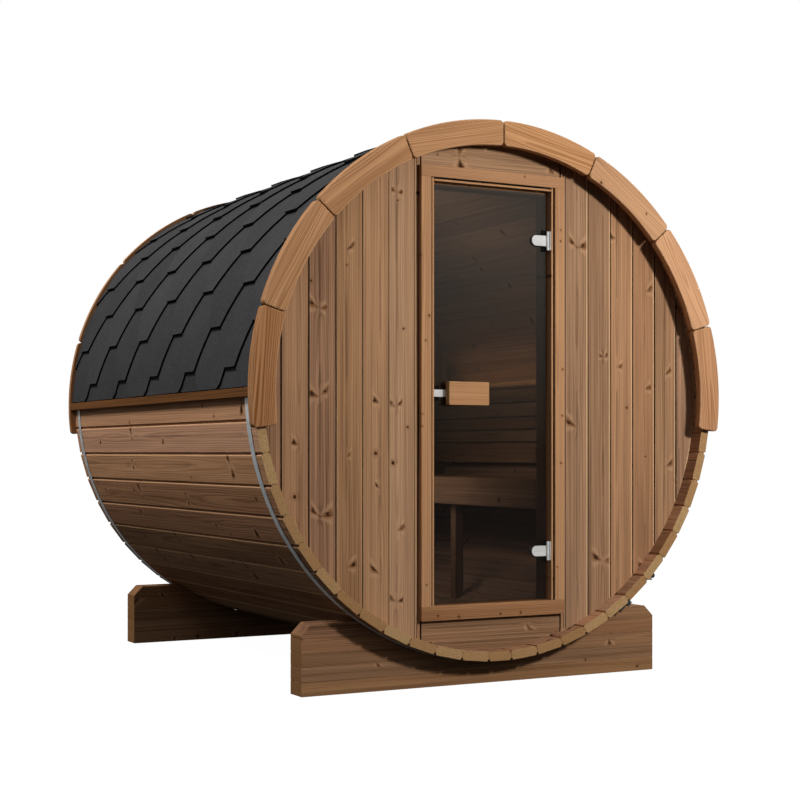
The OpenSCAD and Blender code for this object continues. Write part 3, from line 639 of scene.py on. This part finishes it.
# Along an edge the section follows the joint's radial line and leaves it on an arc of beadR
def staveSection(halfAngle, rightBead, leftBead):
    s, sides = staveRing, []
    foot, head = (
        np.array([r * math.tan(halfAngle) - s["gap"] / 2, r]) for r in (barrel["innerR"], barrel["outerR"])
    )
    up = (head - foot) / np.linalg.norm(head - foot)
    out, level = np.array([up[1], -up[0]]), np.array([1.0, 0.0])
    for bead in (rightBead, leftBead):
        radius = s["beadR"] if bead else s["beadR"] + s["gap"]
        leave = math.acos(s["beadIn"] / radius)
        turn = np.linspace(-leave, leave, s["arcPoints"])[:, None]
        way = 1 if bead else -1
        centre = (foot + head) / 2 - way * s["beadIn"] * out
        curve = centre + radius * (way * np.cos(turn) * out + np.sin(turn) * up)
        if bead:
            soft = s["softEdge"]
            shoulder = [head - soft * up, head - s["ease"] * soft * (up + level), head - soft * level]
            heel = [foot - soft * level, foot + soft * up]
        else:  # the cove's edges are cut back, which leaves a dark line along every joint
            slot, nick = head - s["slot"] * level, s["nick"]
            cut = s["slotDepth"] * up
            shoulder = [head - cut, slot - cut, slot - nick * up, slot - nick * level]
            inner, deep = foot - s["innerSlot"] * level, s["innerSlot"] * up
            heel = [inner - nick * level, inner + nick * up, inner + deep, foot + deep]
        sides.append(np.r_[heel, curve, shoulder])
    return np.r_[sides[0], mirrored(sides[1])]


def staveAt(angle, halfAngle, rightBead, leftBead):  # angle from the top, towards +X, in radians
    tangent = np.array([math.cos(angle), 0, -math.sin(angle)])
    radial = np.array([math.sin(angle), 0, math.cos(angle)])
    origin, axes = (0, barrel["endY"], barrel["axisZ"]), (tangent, radial, -yAxis)
    section = staveSection(halfAngle, rightBead, leftBead)
    edges = (staveRing["endEdge"], staveRing["endEdge"])
    made = board(section, 2 * barrel["endY"], origin, axes, yAxis, edges, steps=2)
    return dict(made, face=radial)


halfStave = math.atan(staveRing["width"] / 2 / barrel["outerR"])
halfKey = math.atan(staveRing["keyWidth"] / 2 / barrel["outerR"])
halfTop = math.pi - halfKey - 2 * halfStave * staveRing["perSide"]


def staveRow(first, last, side, tones=()):  # counted up from the bottom key, coves downwards
    angles = math.pi - halfKey - halfStave * (2 * np.arange(first, last) + 1)
    row = [staveAt(side * a, halfStave, side < 0, side > 0) for a in angles]
    return [dict(stave, tone=tone) for stave, tone in zip(row, tones)] or row


bottom, lower, upper, top, last = staveRing["groups"]
bottomKey, topKey = staveAt(math.pi, halfKey, True, True), staveAt(0, halfTop, False, False)
for node, staves in dict(
    staves_bottom=[bottomKey, *staveRow(bottom, lower, 1), *staveRow(bottom, lower, -1)],
    staves_right=staveRow(lower, upper, 1),
    staves_left=staveRow(lower, upper, -1, staveRing["leftTones"]),
    staves_upper_right=staveRow(upper, top, 1),
    staves_upper_left=staveRow(upper, top, -1),
    staves_top=[topKey, *staveRow(top, last, 1), *staveRow(top, last, -1)],
).items():
    boardPiece(pieceName(node), staves, staveWood, [node])
print("staves made")


# End walls: upright boards cut off by the barrel's round, level boards over and under the door
wallBoards = dict(
    softFront=0.0009, softBack=0.001, rimR=0.9652,
    margin=0.0045,  # strip where a highlight is painted beside each joint, on upright boards only
    close=0.0002,  # the joints are nearly shut
    tones=dict(front_wall_foot=1.2, front_wall_head=0.13),  # the foot boards are darker, painted shade under the sill; the head boards lighter, painted light
)
upFront = (xAxis, zAxis, -yAxis)  # outline in x and z, thickness towards the front
upRear = (-xAxis, zAxis, yAxis)  # the same for what is seen from behind


def flatBoards(node, grain, front):
    w, made = wallBoards, []
    margin = w["margin"] if grain is zAxis else 0.0
    for low, high in solidBoxes(node):
        outline = roundClip(low[0] - w["close"], high[0] + w["close"], low[2], high[2], w["rimR"])
        outline, y, axes = (outline, high[1], upFront) if front else (mirrored(outline), low[1], upRear)
        edges = (w["softBack"], w["softFront"])
        flat = board(outline, high[1] - low[1], (0, y, 0), axes, grain, edges, margin=margin)
        # the lit side, right for upright boards and top for level ones, gets the full painted edge highlight
        made.append(dict(flat, litSide=np.abs(np.cross(grain, yAxis))))
    return made


for node, grain, front in (
    ("front_wall_left", zAxis, True), ("front_wall_right", zAxis, True),
    ("front_wall_head", xAxis, True), ("front_wall_foot", xAxis, True), ("door_posts", zAxis, True),
    ("rear_wall_left", zAxis, False), ("rear_wall_right", zAxis, False),
):
    boards = flatBoards(node, grain, front)
    # the foot boards' dark tone is painted shade, the head boards' light tone painted light
    if node in wallBoards["tones"]:
        boards = [dict(b, tone=wallBoards["tones"][node]) for b in boards]
    boardPiece(pieceName(node), boards, wallWood, [node])
print("end walls made")


# Trim boards: four arcs a side with round corners and round front edges
trimRing = dict(
    count=4, reach=math.radians(97.6), gap=0.003, innerR=0.930, outerR=1.025, corner=0.016,
    frontEdge=0.005, backEdge=0.001, arcPoints=15, cornerPoints=6,
    tones={1: (0.5, 0.4, 0.3, 0.7), -1: (0.65, 0.65, 0.65, 1.0)},  # shade of each board, from the top down
)


# Outline of an arc-shaped board between two angles from the top: outer arc, inner arc back, corners rounded
# by corner(1 - sin b) in radius at corner(1 - cos b) along the arc
def trimOutline(start, end):
    t = trimRing
    cut = t["corner"] / t["outerR"]
    bend = np.linspace(0, np.pi / 2, t["cornerPoints"])
    turn = np.linspace(start + cut, end - cut, t["arcPoints"])[1:-1]
    soft = t["corner"] * (1 - np.sin(bend))
    slide = t["corner"] * (1 - np.cos(bend)) / t["outerR"]
    angles = np.r_[start + slide, turn, (end - slide)[::-1]]
    draw = np.r_[soft, np.zeros(len(turn)), soft[::-1]]
    radii = np.r_[t["outerR"] - draw, (t["innerR"] + draw)[::-1]]
    angles = np.r_[angles, angles[::-1]]
    return np.c_[radii * np.sin(angles), barrel["axisZ"] + radii * np.cos(angles)][::-1]


def trimBoards(side, front):
    t, made = trimRing, []
    step, half = t["reach"] / t["count"], t["gap"] / 2 / t["outerR"]
    low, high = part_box("front_trim_right" if front else "rear_trim_right")
    edges = (t["backEdge"], t["frontEdge"]) if front else (t["frontEdge"], t["backEdge"])
    for i, tone in enumerate(t["tones"][side]):
        outline = trimOutline(i * step + half, (i + 1) * step - half)
        middle = (i + 0.5) * step
        grain = np.array([math.cos(middle), 0, -math.sin(middle)])
        if side < 0:
            outline, grain = mirrored(outline), grain * (-1, 1, 1)
        arcBoard = board(outline, high.y - low.y, (0, high.y, 0), upFront, grain, edges, steps=4)
        made.append(dict(arcBoard, tone=tone))
    return made


for node, side, front in (
    ("front_trim_left", -1, True), ("front_trim_right", 1, True),
    ("rear_trim_left", -1, False), ("rear_trim_right", 1, False),
):
    boardPiece(pieceName(node), trimBoards(side, front), trimWood, [node])
print("trim made")


# Cradles: five boards glued on each other, shoulders chamfered, seat cut to the barrel's round
cradleBeam = dict(
    layers=5, chamfer=0.041, seatR=1.0021, glueLine=0.003, edge=0.0012, seatPoints=25, sidePoints=7,
)


def seatArc(fromX, toX, count):  # the seat's circle between two x
    x = np.linspace(fromX, toX, count)
    return np.c_[x, barrel["axisZ"] - np.sqrt(cradleBeam["seatR"] ** 2 - x ** 2)]


# The outlines of one layer, in two pieces where the seat cuts through it
def cradleLayer(half, topZ, z0, z1):
    a, shoulder = cradleBeam, topZ - cradleBeam["chamfer"]
    rim = [[half, z0], [half, z1]]
    if z1 > shoulder:
        rim[1:] = [[half, shoulder], [half - (z1 - shoulder), z1]]
    rim = np.array(rim)
    left = mirrored(rim)
    seatLow = barrel["axisZ"] - a["seatR"]
    if z1 <= seatLow:
        return [np.r_[left[-1:], rim, left[:-1]]]
    drops = barrel["axisZ"] - np.array([max(z0, seatLow), z1])
    x0, x1 = np.sqrt(np.maximum(a["seatR"] ** 2 - drops ** 2, 0))
    if z0 < seatLow:
        return [np.r_[left[-1:], rim, seatArc(x1, -x1, a["seatPoints"]), left[:-1]]]
    seat = seatArc(x1, x0, a["sidePoints"])
    right = np.r_[seat[-1:], rim, seat[:-1]]
    return [right, mirrored(right)]


for node in ("cradle_front", "cradle_rear"):
    low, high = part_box(node)
    levels = np.linspace(low.z, high.z, cradleBeam["layers"] + 1)
    edges = (cradleBeam["edge"], cradleBeam["edge"])
    boards = []
    for z0, z1 in zip(levels[:-1], levels[1:]):
        for outline in cradleLayer(high.x, high.z, z0, z1):
            soft = softCorners(outline, cradleBeam["glueLine"], 2)
            layer = board(soft, high.y - low.y, (0, high.y, 0), upFront, xAxis, edges)
            boards.append(dict(layer, face=yAxis))
    boardPiece(pieceName(node), boards, cradleWood, [node])
print("cradles made")


# Door frame: casing and rebated box of the jambs, head and sill, with a seal in the groove
doorFrame = dict(
    lip=0.008, seal=0.006, casing=0.020, lap=0.010, lipSet=0.006, sealDepth=0.022, stop=0.014, stopGap=0.006,
    soft=0.0025, bedSoft=0.001, jambEnd=0.0012, jambTone=0.4, headTone=0.45, sillTone=1.0,
)
frontY, backY = jambLow.y, jambHigh.y
casingY, grooveY = frontY + doorFrame["casing"], frontY + doorFrame["sealDepth"]
doorHalf, casingHalf = jambLow.x, jambHigh.x
boxHalf = casingHalf - doorFrame["lap"]
headLow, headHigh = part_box("door_head")
sillLow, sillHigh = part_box("door_sill")
stopY = glassHigh.y + doorFrame["stopGap"]
lipZ = headLow.z + doorFrame["stop"]  # underside of the head's lip
grooveZ, casingZ = lipZ + doorFrame["lip"], jambHigh.z


def jambOutline():  # in plan: casing in front, lapped box behind it, lip and seal groove beside the pane
    d, width, depth = doorFrame, casingHalf - doorHalf, backY - frontY
    groove, box = d["lip"] + d["seal"], width - d["lap"]
    steps = [
        [groove, 0], [width, 0], [width, d["casing"]], [box, d["casing"]], [box, depth], [0, depth],
        [0, d["lipSet"]], [d["lip"], d["lipSet"]], [d["lip"], d["sealDepth"]], [groove, d["sealDepth"]],
    ]
    return softCorners(np.array(steps) + (doorHalf, frontY), d["soft"])


def jambBoard(outline):
    edges = (doorFrame["jambEnd"], doorFrame["jambEnd"])
    made = board(outline, casingZ - jambLow.z, zAxis * jambLow.z, np.eye(3), zAxis, edges, steps=2)
    return dict(made, face=yAxis, tone=doorFrame["jambTone"])


stopLow = (-doorHalf - doorFrame["lip"], stopY, jambLow.z)
closingStop = softBox(stopLow, (-doorHalf + doorFrame["stop"], backY, lipZ), 2)
headBoards = [
    softBox((-casingHalf, frontY, casingZ), (casingHalf, casingY, headHigh.z), 0, doorFrame["soft"]),
    softBox((-boxHalf, casingY, casingZ), (boxHalf, backY, headHigh.z - doorFrame["lap"]), 0),
    softBox((-doorHalf, frontY + doorFrame["lipSet"], lipZ), (doorHalf, backY, grooveZ), 0),
    softBox((-doorHalf, grooveY, grooveZ), (doorHalf, backY, casingZ), 0, doorFrame["bedSoft"]),
    softBox((-doorHalf + doorFrame["stop"], stopY, headLow.z), (doorHalf, backY, lipZ), 0),
]
sillBoards = [
    softBox((-casingHalf, frontY, sillLow.z), (casingHalf, casingY, sillHigh.z), 0, doorFrame["soft"]),
    softBox((-boxHalf, casingY, sillLow.z + doorFrame["lap"]), (boxHalf, backY, sillHigh.z), 0),
]
for node, boards in dict(
    door_jamb_right=[jambBoard(jambOutline())],
    door_jamb_left=[jambBoard(mirrored(jambOutline())), closingStop],
    door_head=[dict(b, tone=doorFrame["headTone"]) for b in headBoards],
    door_sill=[dict(b, tone=doorFrame["sillTone"]) for b in sillBoards],
).items():
    boardPiece(pieceName(node), boards, frameWood, [node])

doorSeal = dict(gap=0.0004, set=0.009, soft=0.0015)
grooveX = doorHalf + doorFrame["lip"]
sealIn, sealOut = grooveX + doorSeal["gap"], grooveX + doorFrame["seal"] - doorSeal["gap"]
sealFront, sealBack = frontY + doorSeal["set"], grooveY - doorSeal["gap"]
sealLow, sealTop = grooveZ + doorSeal["gap"], casingZ - doorSeal["gap"]
sealBars = [
    softBox((sealIn, sealFront, jambLow.z), (sealOut, sealBack, casingZ), 2, doorSeal["soft"]),
    softBox((-sealOut, sealFront, jambLow.z), (-sealIn, sealBack, casingZ), 2, doorSeal["soft"]),
    softBox((-sealIn, sealFront, sealLow), (sealIn, sealBack, sealTop), 0, doorSeal["soft"]),
]
boardPiece("doorSeal", sealBars, sealRubber, [])
print("door frame made")


# Door leaf: smoked pane with ground edges, wooden grips and steel strips, each a slab with soft corners
doorLeaf = dict(corner=0.004, paneEdge=0.001, gripEdge=0.003, stripSoft=0.0012)


def slab(low, high, grain, edge):
    outline = softCorners(rectangle(low[0], low[2], high[0], high[2]), doorLeaf["corner"])
    return board(outline, high[1] - low[1], (0, high[1], 0), upFront, grain, (edge, edge))


pane = slab(glassLow, glassHigh, zAxis, doorLeaf["paneEdge"])
boardPiece("glassPane", [pane], doorGlass, ["door_glass"], "door")
gripBoards = [slab(low, high, xAxis, doorLeaf["gripEdge"]) for low, high in solidBoxes("door_handle")]
boardPiece("doorGrips", gripBoards, frameWood, ["door_handle"], "door")
stripBars = [softBox(low, high, 0, doorLeaf["stripSoft"]) for low, high in solidBoxes("handle_plate")]
boardPiece("gripStrips", stripBars, hingeSteel, ["handle_plate"], "door")

# Black pads on the outside of the pane: a D and a square under each clamp, a square under the handle's strip
doorPads = dict(
    width=0.025, half=0.042, rim=0.0035, thick=0.0012, bowThick=0.00108, soft=0.0004, gap=0.0001,
    stripRise=0.015, bowPoints=17,
)
padFront = glassLow.y - doorPads["gap"]
padBars = []


def padBox(x0, x1, z0, z1):
    return softBox((x0, padFront - doorPads["thick"], z0), (x1, padFront, z1), 2, doorPads["soft"])


def padBow(x, z, half):  # a half circle about (x, z), with straight sides to the pane's edge
    turn = np.linspace(0.5 * np.pi, 1.5 * np.pi, doorPads["bowPoints"])
    bow = (x, z) + (half + doorPads["rim"]) * np.c_[np.cos(turn), np.sin(turn)]
    outline = np.r_[bow, [[glassHigh.x, bow[-1, 1]], [glassHigh.x, bow[0, 1]]]]
    edges = (doorPads["soft"], doorPads["soft"])
    return board(outline, doorPads["bowThick"], (0, padFront, 0), upFront, zAxis, edges, steps=2)


for low, high in solidBoxes("hinge_clamps"):
    if low[1] < glassLow.y:
        z, half = (low[2] + high[2]) / 2, (high[2] - low[2]) / 2
        padBars.append(padBow(low[0] + half, z, half))
        padBars.append(padBox(
            glassHigh.x - doorPads["width"], glassHigh.x, z - doorPads["half"], z + doorPads["half"],
        ))
for low, high in solidBoxes("handle_plate"):
    if low[1] < glassLow.y:
        x0, rise = max(low[0], glassLow.x), doorPads["stripRise"]
        padBars.append(padBox(x0, low[0] + doorPads["width"], low[2] - rise, high[2] + rise))
boardPiece("doorPads", padBars, sealRubber, [], "door")

for node, steel in (
    ("band_front", bandSteel), ("band_rear", bandSteel), ("band_tensioners", boltSteel),
    ("hinge_plates", hingeSteel), ("hinge_clamps", hingeSteel),
):
    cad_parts[node].material_slots[0].material = steel
print("door leaf made")


# Cabin: floor, bench and backrest boards where the solids are, and the battens under the eaves
cabinBoards = dict(soft=0.003, cutSoft=0.002, insideR=0.9637, columns=17)
for node in ("floor_boards", "bench_seat", "bench_apron", "backrest_slats"):
    planks = [softBox(low, high, 1, cabinBoards["soft"]) for low, high in solidBoxes(node)]
    boardPiece(pieceName(node), planks, cabinWood, [node])
for node, grain in (
    ("floor_joists", xAxis), ("bench_bearers", xAxis), ("bench_leg", zAxis),
    ("backrest_posts", zAxis), ("backrest_ledge", yAxis),
):
    planks, edges = [], (cabinBoards["cutSoft"], cabinBoards["cutSoft"])
    for low, high in solidBoxes(node):
        outline = roundClip(low[0], high[0], low[2], high[2], cabinBoards["insideR"], cabinBoards["columns"])
        planks.append(board(outline, high[1] - low[1], (0, high[1], 0), upFront, grain, edges))
    boardPiece(pieceName(node), planks, cabinWood, [node])
for node in ("eave_batten_left", "eave_batten_right"):
    planks = [softBox(low, high, 1, cabinBoards["soft"]) for low, high in solidBoxes(node)]
    boardPiece(pieceName(node), planks, battenWood, [node])
print("cabin made")


# Shingles: courses of half-hexagon tabs that lap like scales, thickest at the lower edge.
# A course's lower edge is a trapezoid wave along y; its face rises from one sheet to two sheets
# above the deck between its top and its lower edge, measured as arc length from the ridge.
shingles = dict(
    exposure=0.158, pitch=0.399, flat=0.107, firstArc=1.500, firstCentre=-0.048, eaveArc=1.574, tuck=0.07,
    sheet=0.007, thick=0.0063, lift=(-0.2, 2.0),  # lift in sheets
    deckR=1.0038, underR=1.0020,  # top of the tucked-in sheets, and the lowest that a sheet may reach
    arcR=1.0105,  # arc lengths are measured at this radius
    column=0.045, rows=9, nearest=0.001, lowestCourse=-2, toneCount=12,
)


def tabWave(y, centre):  # 0 along a tab's lower edge, 1 along the notch between two tabs
    s = shingles
    slope = (s["pitch"] - 2 * s["flat"]) / 2
    away = np.abs((y - centre + s["pitch"] / 2) % s["pitch"] - s["pitch"] / 2)
    return np.clip((away - s["flat"] / 2) / slope, 0, 1)


def waveColumns(y0, y1, centre):  # the wave's corners and enough columns between them
    s = shingles
    corners = centre + np.arange(-9, 10)[:, None] * s["pitch"] / 2  # reaches past both ends of the roof
    corners = (corners + np.array([-s["flat"] / 2, s["flat"] / 2])).ravel()
    within = (corners > y0 + s["nearest"]) & (corners < y1 - s["nearest"])
    corners = np.sort(np.r_[y0, corners[within], y1])
    counts = np.ceil(np.diff(corners) / s["column"]).astype(int)
    spans = zip(corners[:-1], corners[1:], counts)
    return np.r_[np.concatenate([np.linspace(a, b, n, endpoint=False) for a, b, n in spans]), y1]


# A closed sheet: face grid, back grid, and walls round the rim, from arrays of arc and radius over y.
# A point lies at its radius from the barrel's axis, at the angle arc / arcR from the top.
def sheetGrid(y, arcs, outerR, innerR, side):
    angle = side * arcs / shingles["arcR"]
    along, axisZ = np.broadcast_to(y[:, None], arcs.shape), barrel["axisZ"]
    grids = [
        np.stack([r * np.sin(angle), along, axisZ + r * np.cos(angle)], -1) for r in (outerR, innerR)
    ]
    points = np.concatenate(grids).reshape(-1, 3)
    m, n = arcs.shape
    top = np.arange(m * n).reshape(m, n)
    low = top + m * n
    face = np.stack([top[:-1, :-1], top[1:, :-1], top[1:, 1:], top[:-1, 1:]], -1).reshape(-1, 4)
    back = np.stack([low[:-1, :-1], low[:-1, 1:], low[1:, 1:], low[1:, :-1]], -1).reshape(-1, 4)
    rim = np.r_[top[:, 0], top[-1, 1:], top[-2::-1, -1], top[0, -2:0:-1]]
    ahead = np.roll(rim, -1)
    wall = np.stack([rim, rim + m * n, ahead + m * n, ahead], -1)
    quads = np.concatenate([face, back, wall])
    if side > 0:
        quads = quads[:, ::-1]
    isWall = np.r_[np.zeros(len(face) + len(back), int), np.ones(len(wall), int)]
    return points, quads, isWall


def shinglePiece(name, sheets, nodes):  # each sheet is its points, quads, marks of cut edges and tones
    pointRows, quadRows, wallRows, toneRows = zip(*sheets)
    starts = np.cumsum([0] + [len(points) for points in pointRows])
    quads = np.concatenate([quads + start for quads, start in zip(quadRows, starts)])
    mesh = bpy.data.meshes.new(name)
    mesh.from_pydata(np.concatenate(pointRows).tolist(), [], quads.tolist())
    setAttribute(mesh, "tone", "POINT", np.concatenate(toneRows))
    mesh.polygons.foreach_set("material_index", np.concatenate(wallRows))
    return finishPiece(name, mesh, [shingleFace, shingleEdge], nodes, "root")


def roofSheets(side):
    s, sheets = shingles, []
    for k in range(s["lowestCourse"], int(s["firstArc"] / s["exposure"])):
        bottomArc = s["firstArc"] - k * s["exposure"]
        centre = s["firstCentre"] + (k % 2) * s["pitch"] / 2
        y = waveColumns(roofLow.y, roofHigh.y, centre)
        lower = bottomArc - s["exposure"] * tabWave(y, centre)
        lower = np.minimum(lower, s["eaveArc"])[:, None]  # the lowest courses are cut off along the eave
        upper = max(bottomArc - 2 * s["exposure"] - s["tuck"], 0.0)
        arcs = lower + (upper - lower) * np.linspace(0, 1, s["rows"])[None, :]
        lift = 1 + (arcs - (bottomArc - s["exposure"])) / s["exposure"]
        outerR = s["deckR"] + s["sheet"] * np.clip(lift, *s["lift"])
        tab = np.floor((y - centre) / s["pitch"] + 0.5).astype(int)
        shades = rng.uniform(0, 1, s["toneCount"])[tab + s["toneCount"] // 2]
        tone = np.repeat(shades, s["rows"])
        sheet = sheetGrid(y, arcs, outerR, np.maximum(outerR - s["thick"], s["underR"]), side)
        sheets.append((*sheet, np.r_[tone, tone]))
    return sheets


# Ridge caps: sheets bent over the ridge, each laid on the one behind it, with cut corners at the open end
ridgeCaps = dict(
    exposure=0.2, length=0.3, half=0.155, corner=0.05, cut=0.06, baseR=1.0183, rise=0.006, shortest=0.01,
    columns=7, rows=13,
)


def ridgeSheets():
    c, sheets = ridgeCaps, []
    for start in np.arange(roofLow.y, roofHigh.y - c["shortest"], c["exposure"]):
        end = min(start + c["length"], roofHigh.y)
        y = np.unique(np.r_[np.linspace(start, end, c["columns"]), min(start + c["cut"], end)])
        half = c["half"] - c["corner"] * np.clip(1 - (y - start) / c["cut"], 0, 1)
        arcs = half[:, None] * np.linspace(1, -1, c["rows"])[None, :]
        radius = c["baseR"] + c["rise"] * (1 - (y - start) / c["length"])
        outerR = np.broadcast_to(radius[:, None], arcs.shape)
        sheet = sheetGrid(y, arcs, outerR, outerR - shingles["thick"], 1)
        sheets.append((*sheet, np.full(len(sheet[0]), rng.uniform(0, 1))))
    return sheets


shinglePiece("shinglesLeft", roofSheets(-1), ["roof_left"])
shinglePiece("shinglesRight", roofSheets(1), ["roof_right"])
shinglePiece("shinglesRidge", ridgeSheets(), [])
print("shingles made")


# Stage: pale floor, white surround, a soft sun from the upper right and sky light from above
stageLook = dict(
    floorSize=60.0, floorBounce="#3a3a3a", floorGlow=0.99, skyTop=0.58, skyRim=0.05, skyHeight=0.9,
    mirrorRim=0.08, mirrorHeight=0.13, mirrorHue="#fff7ea",
)
white = (1, 1, 1, 1)


# 1 for mirrored rays, and 1 for all rays that show the surround: from the camera, mirrored or through glass
def surroundRays(add):
    rays = add("LightPath")
    seen = add("Math.MAXIMUM", rays["Is Camera Ray"], rays["Is Glossy Ray"])[0]
    return rays["Is Glossy Ray"], add("Math.MAXIMUM", seen, rays["Is Transmission Ray"])[0]


floorMaterial, add = newMaterial("paleFloor")
glossy, seen = surroundRays(add)
glow = add("Math.MULTIPLY", seen, stageLook["floorGlow"])[0]
glow = add("Mix", {0: glossy, 2: glow, 3: stageLook["mirrorRim"]})[0]
matt = add("BsdfDiffuse", {"Color": linear(stageLook["floorBounce"])})[0]
light = add("Emission", {"Color": white, "Strength": glow})[0]
both = add("AddShader", matt, light)[0]
add("OutputMaterial", both)
floorHalf = stageLook["floorSize"] / 2
floorMesh = bpy.data.meshes.new("paleFloor")
floorCorners = rectangle(-floorHalf, -floorHalf, floorHalf, floorHalf)
floorMesh.from_pydata(np.c_[floorCorners, np.zeros(4)].tolist(), [], [(0, 1, 2, 3)])
floorMesh.materials.append(floorMaterial)
floor = bpy.data.objects.new("paleFloor", floorMesh)
scene.collection.objects.link(floor)

world = bpy.data.worlds.new("whiteSurround")
scene.world = world
world.use_nodes = True
world.node_tree.nodes.clear()
add = partial(addNode, world.node_tree)
glossy, seen = surroundRays(add)
heading = add("TexCoord")["Generated"]
heightUp = add("SeparateXYZ", heading)["Z"]
sky = add("MapRange", heightUp, 0.0, stageLook["skyHeight"], stageLook["skyRim"], stageLook["skyTop"])[0]
mirror = add("MapRange", heightUp, 0.0, stageLook["mirrorHeight"], stageLook["mirrorRim"], 1.0)[0]
mirror = add("Mix", {0: glossy, 2: 1.0, 3: mirror})[0]
strength = add("Mix", {0: seen, 2: sky, 3: mirror})[0]
hue = add("Mix", {0: glossy, 6: white, 7: linear(stageLook["mirrorHue"])}, **rgba)[2]
surround = add("Background", {"Color": hue, "Strength": strength})[0]
add("OutputWorld", surround)

# A lamp stands at distance from the barrel's middle, or from its own point, and shines back the way it came
ledgeLow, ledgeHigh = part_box("backrest_ledge")
ledgeGap = dict(ahead=0.03, above=0.02)
lamps = dict(
    keyLamp=dict(towards=(0.27, -0.93, 0.25), distance=4.5, power=121.0, size=0.4, glossy=False),
    topLeftLamp=dict(towards=(-0.67, 0.08, 0.74), distance=9.0, power=670.0, size=2.0),
    backLamp=dict(towards=(0.72, 0.55, 0.45), distance=9.0, power=640.0, size=3.0),
    cabinLamp=dict(towards=(-0.2, 0, -1), distance=-0.42, power=1.7, size=0.5),  # above the axis, upwards
    floorLamp=dict(towards=(-0.2, 0, 1), distance=-0.3, power=1.4, size=0.4),  # below it, downwards
    benchLamp=dict(  # at the backrest
        towards=(-0.9, 0.0, 0.42), distance=0.55, power=1.2, size=1.4, tall=0.3, spread=0.9,
    ),
    ledgeGlow=dict(  # warm strip of light along the front of the backrest's ledge
        point=(ledgeLow.x - ledgeGap["ahead"], 0, ledgeHigh.z + ledgeGap["above"]), distance=0.0,
        towards=(-1, 0, -0.2), power=0.75, size=1.7, tall=0.012, colour=(1.0, 0.78, 0.5), glossy=False,
    ),
)
for name, lamp in lamps.items():
    lampData = bpy.data.lights.new(name, "AREA")
    lampData.energy = lamp["power"]
    lampData.shape = "RECTANGLE"
    lampData.size, lampData.size_y = lamp["size"], lamp.get("tall", lamp["size"])
    lampData.color = lamp.get("colour", white[:3])
    lampData.spread = lamp.get("spread", math.pi)
    lampObject = bpy.data.objects.new(name, lampData)
    towards = Vector(lamp["towards"]).normalized()
    lampObject.location = Vector(lamp.get("point", (0, 0, barrel["axisZ"]))) + towards * lamp["distance"]
    lampObject.rotation_mode = "QUATERNION"
    lampObject.rotation_quaternion = towards.to_track_quat("Z", "Y")
    lampObject.visible_glossy = lamp.get("glossy", True)  # steel and pane don't mirror every lamp
    scene.collection.objects.link(lampObject)
scene.view_settings.view_transform = "Standard"
print("stage made")
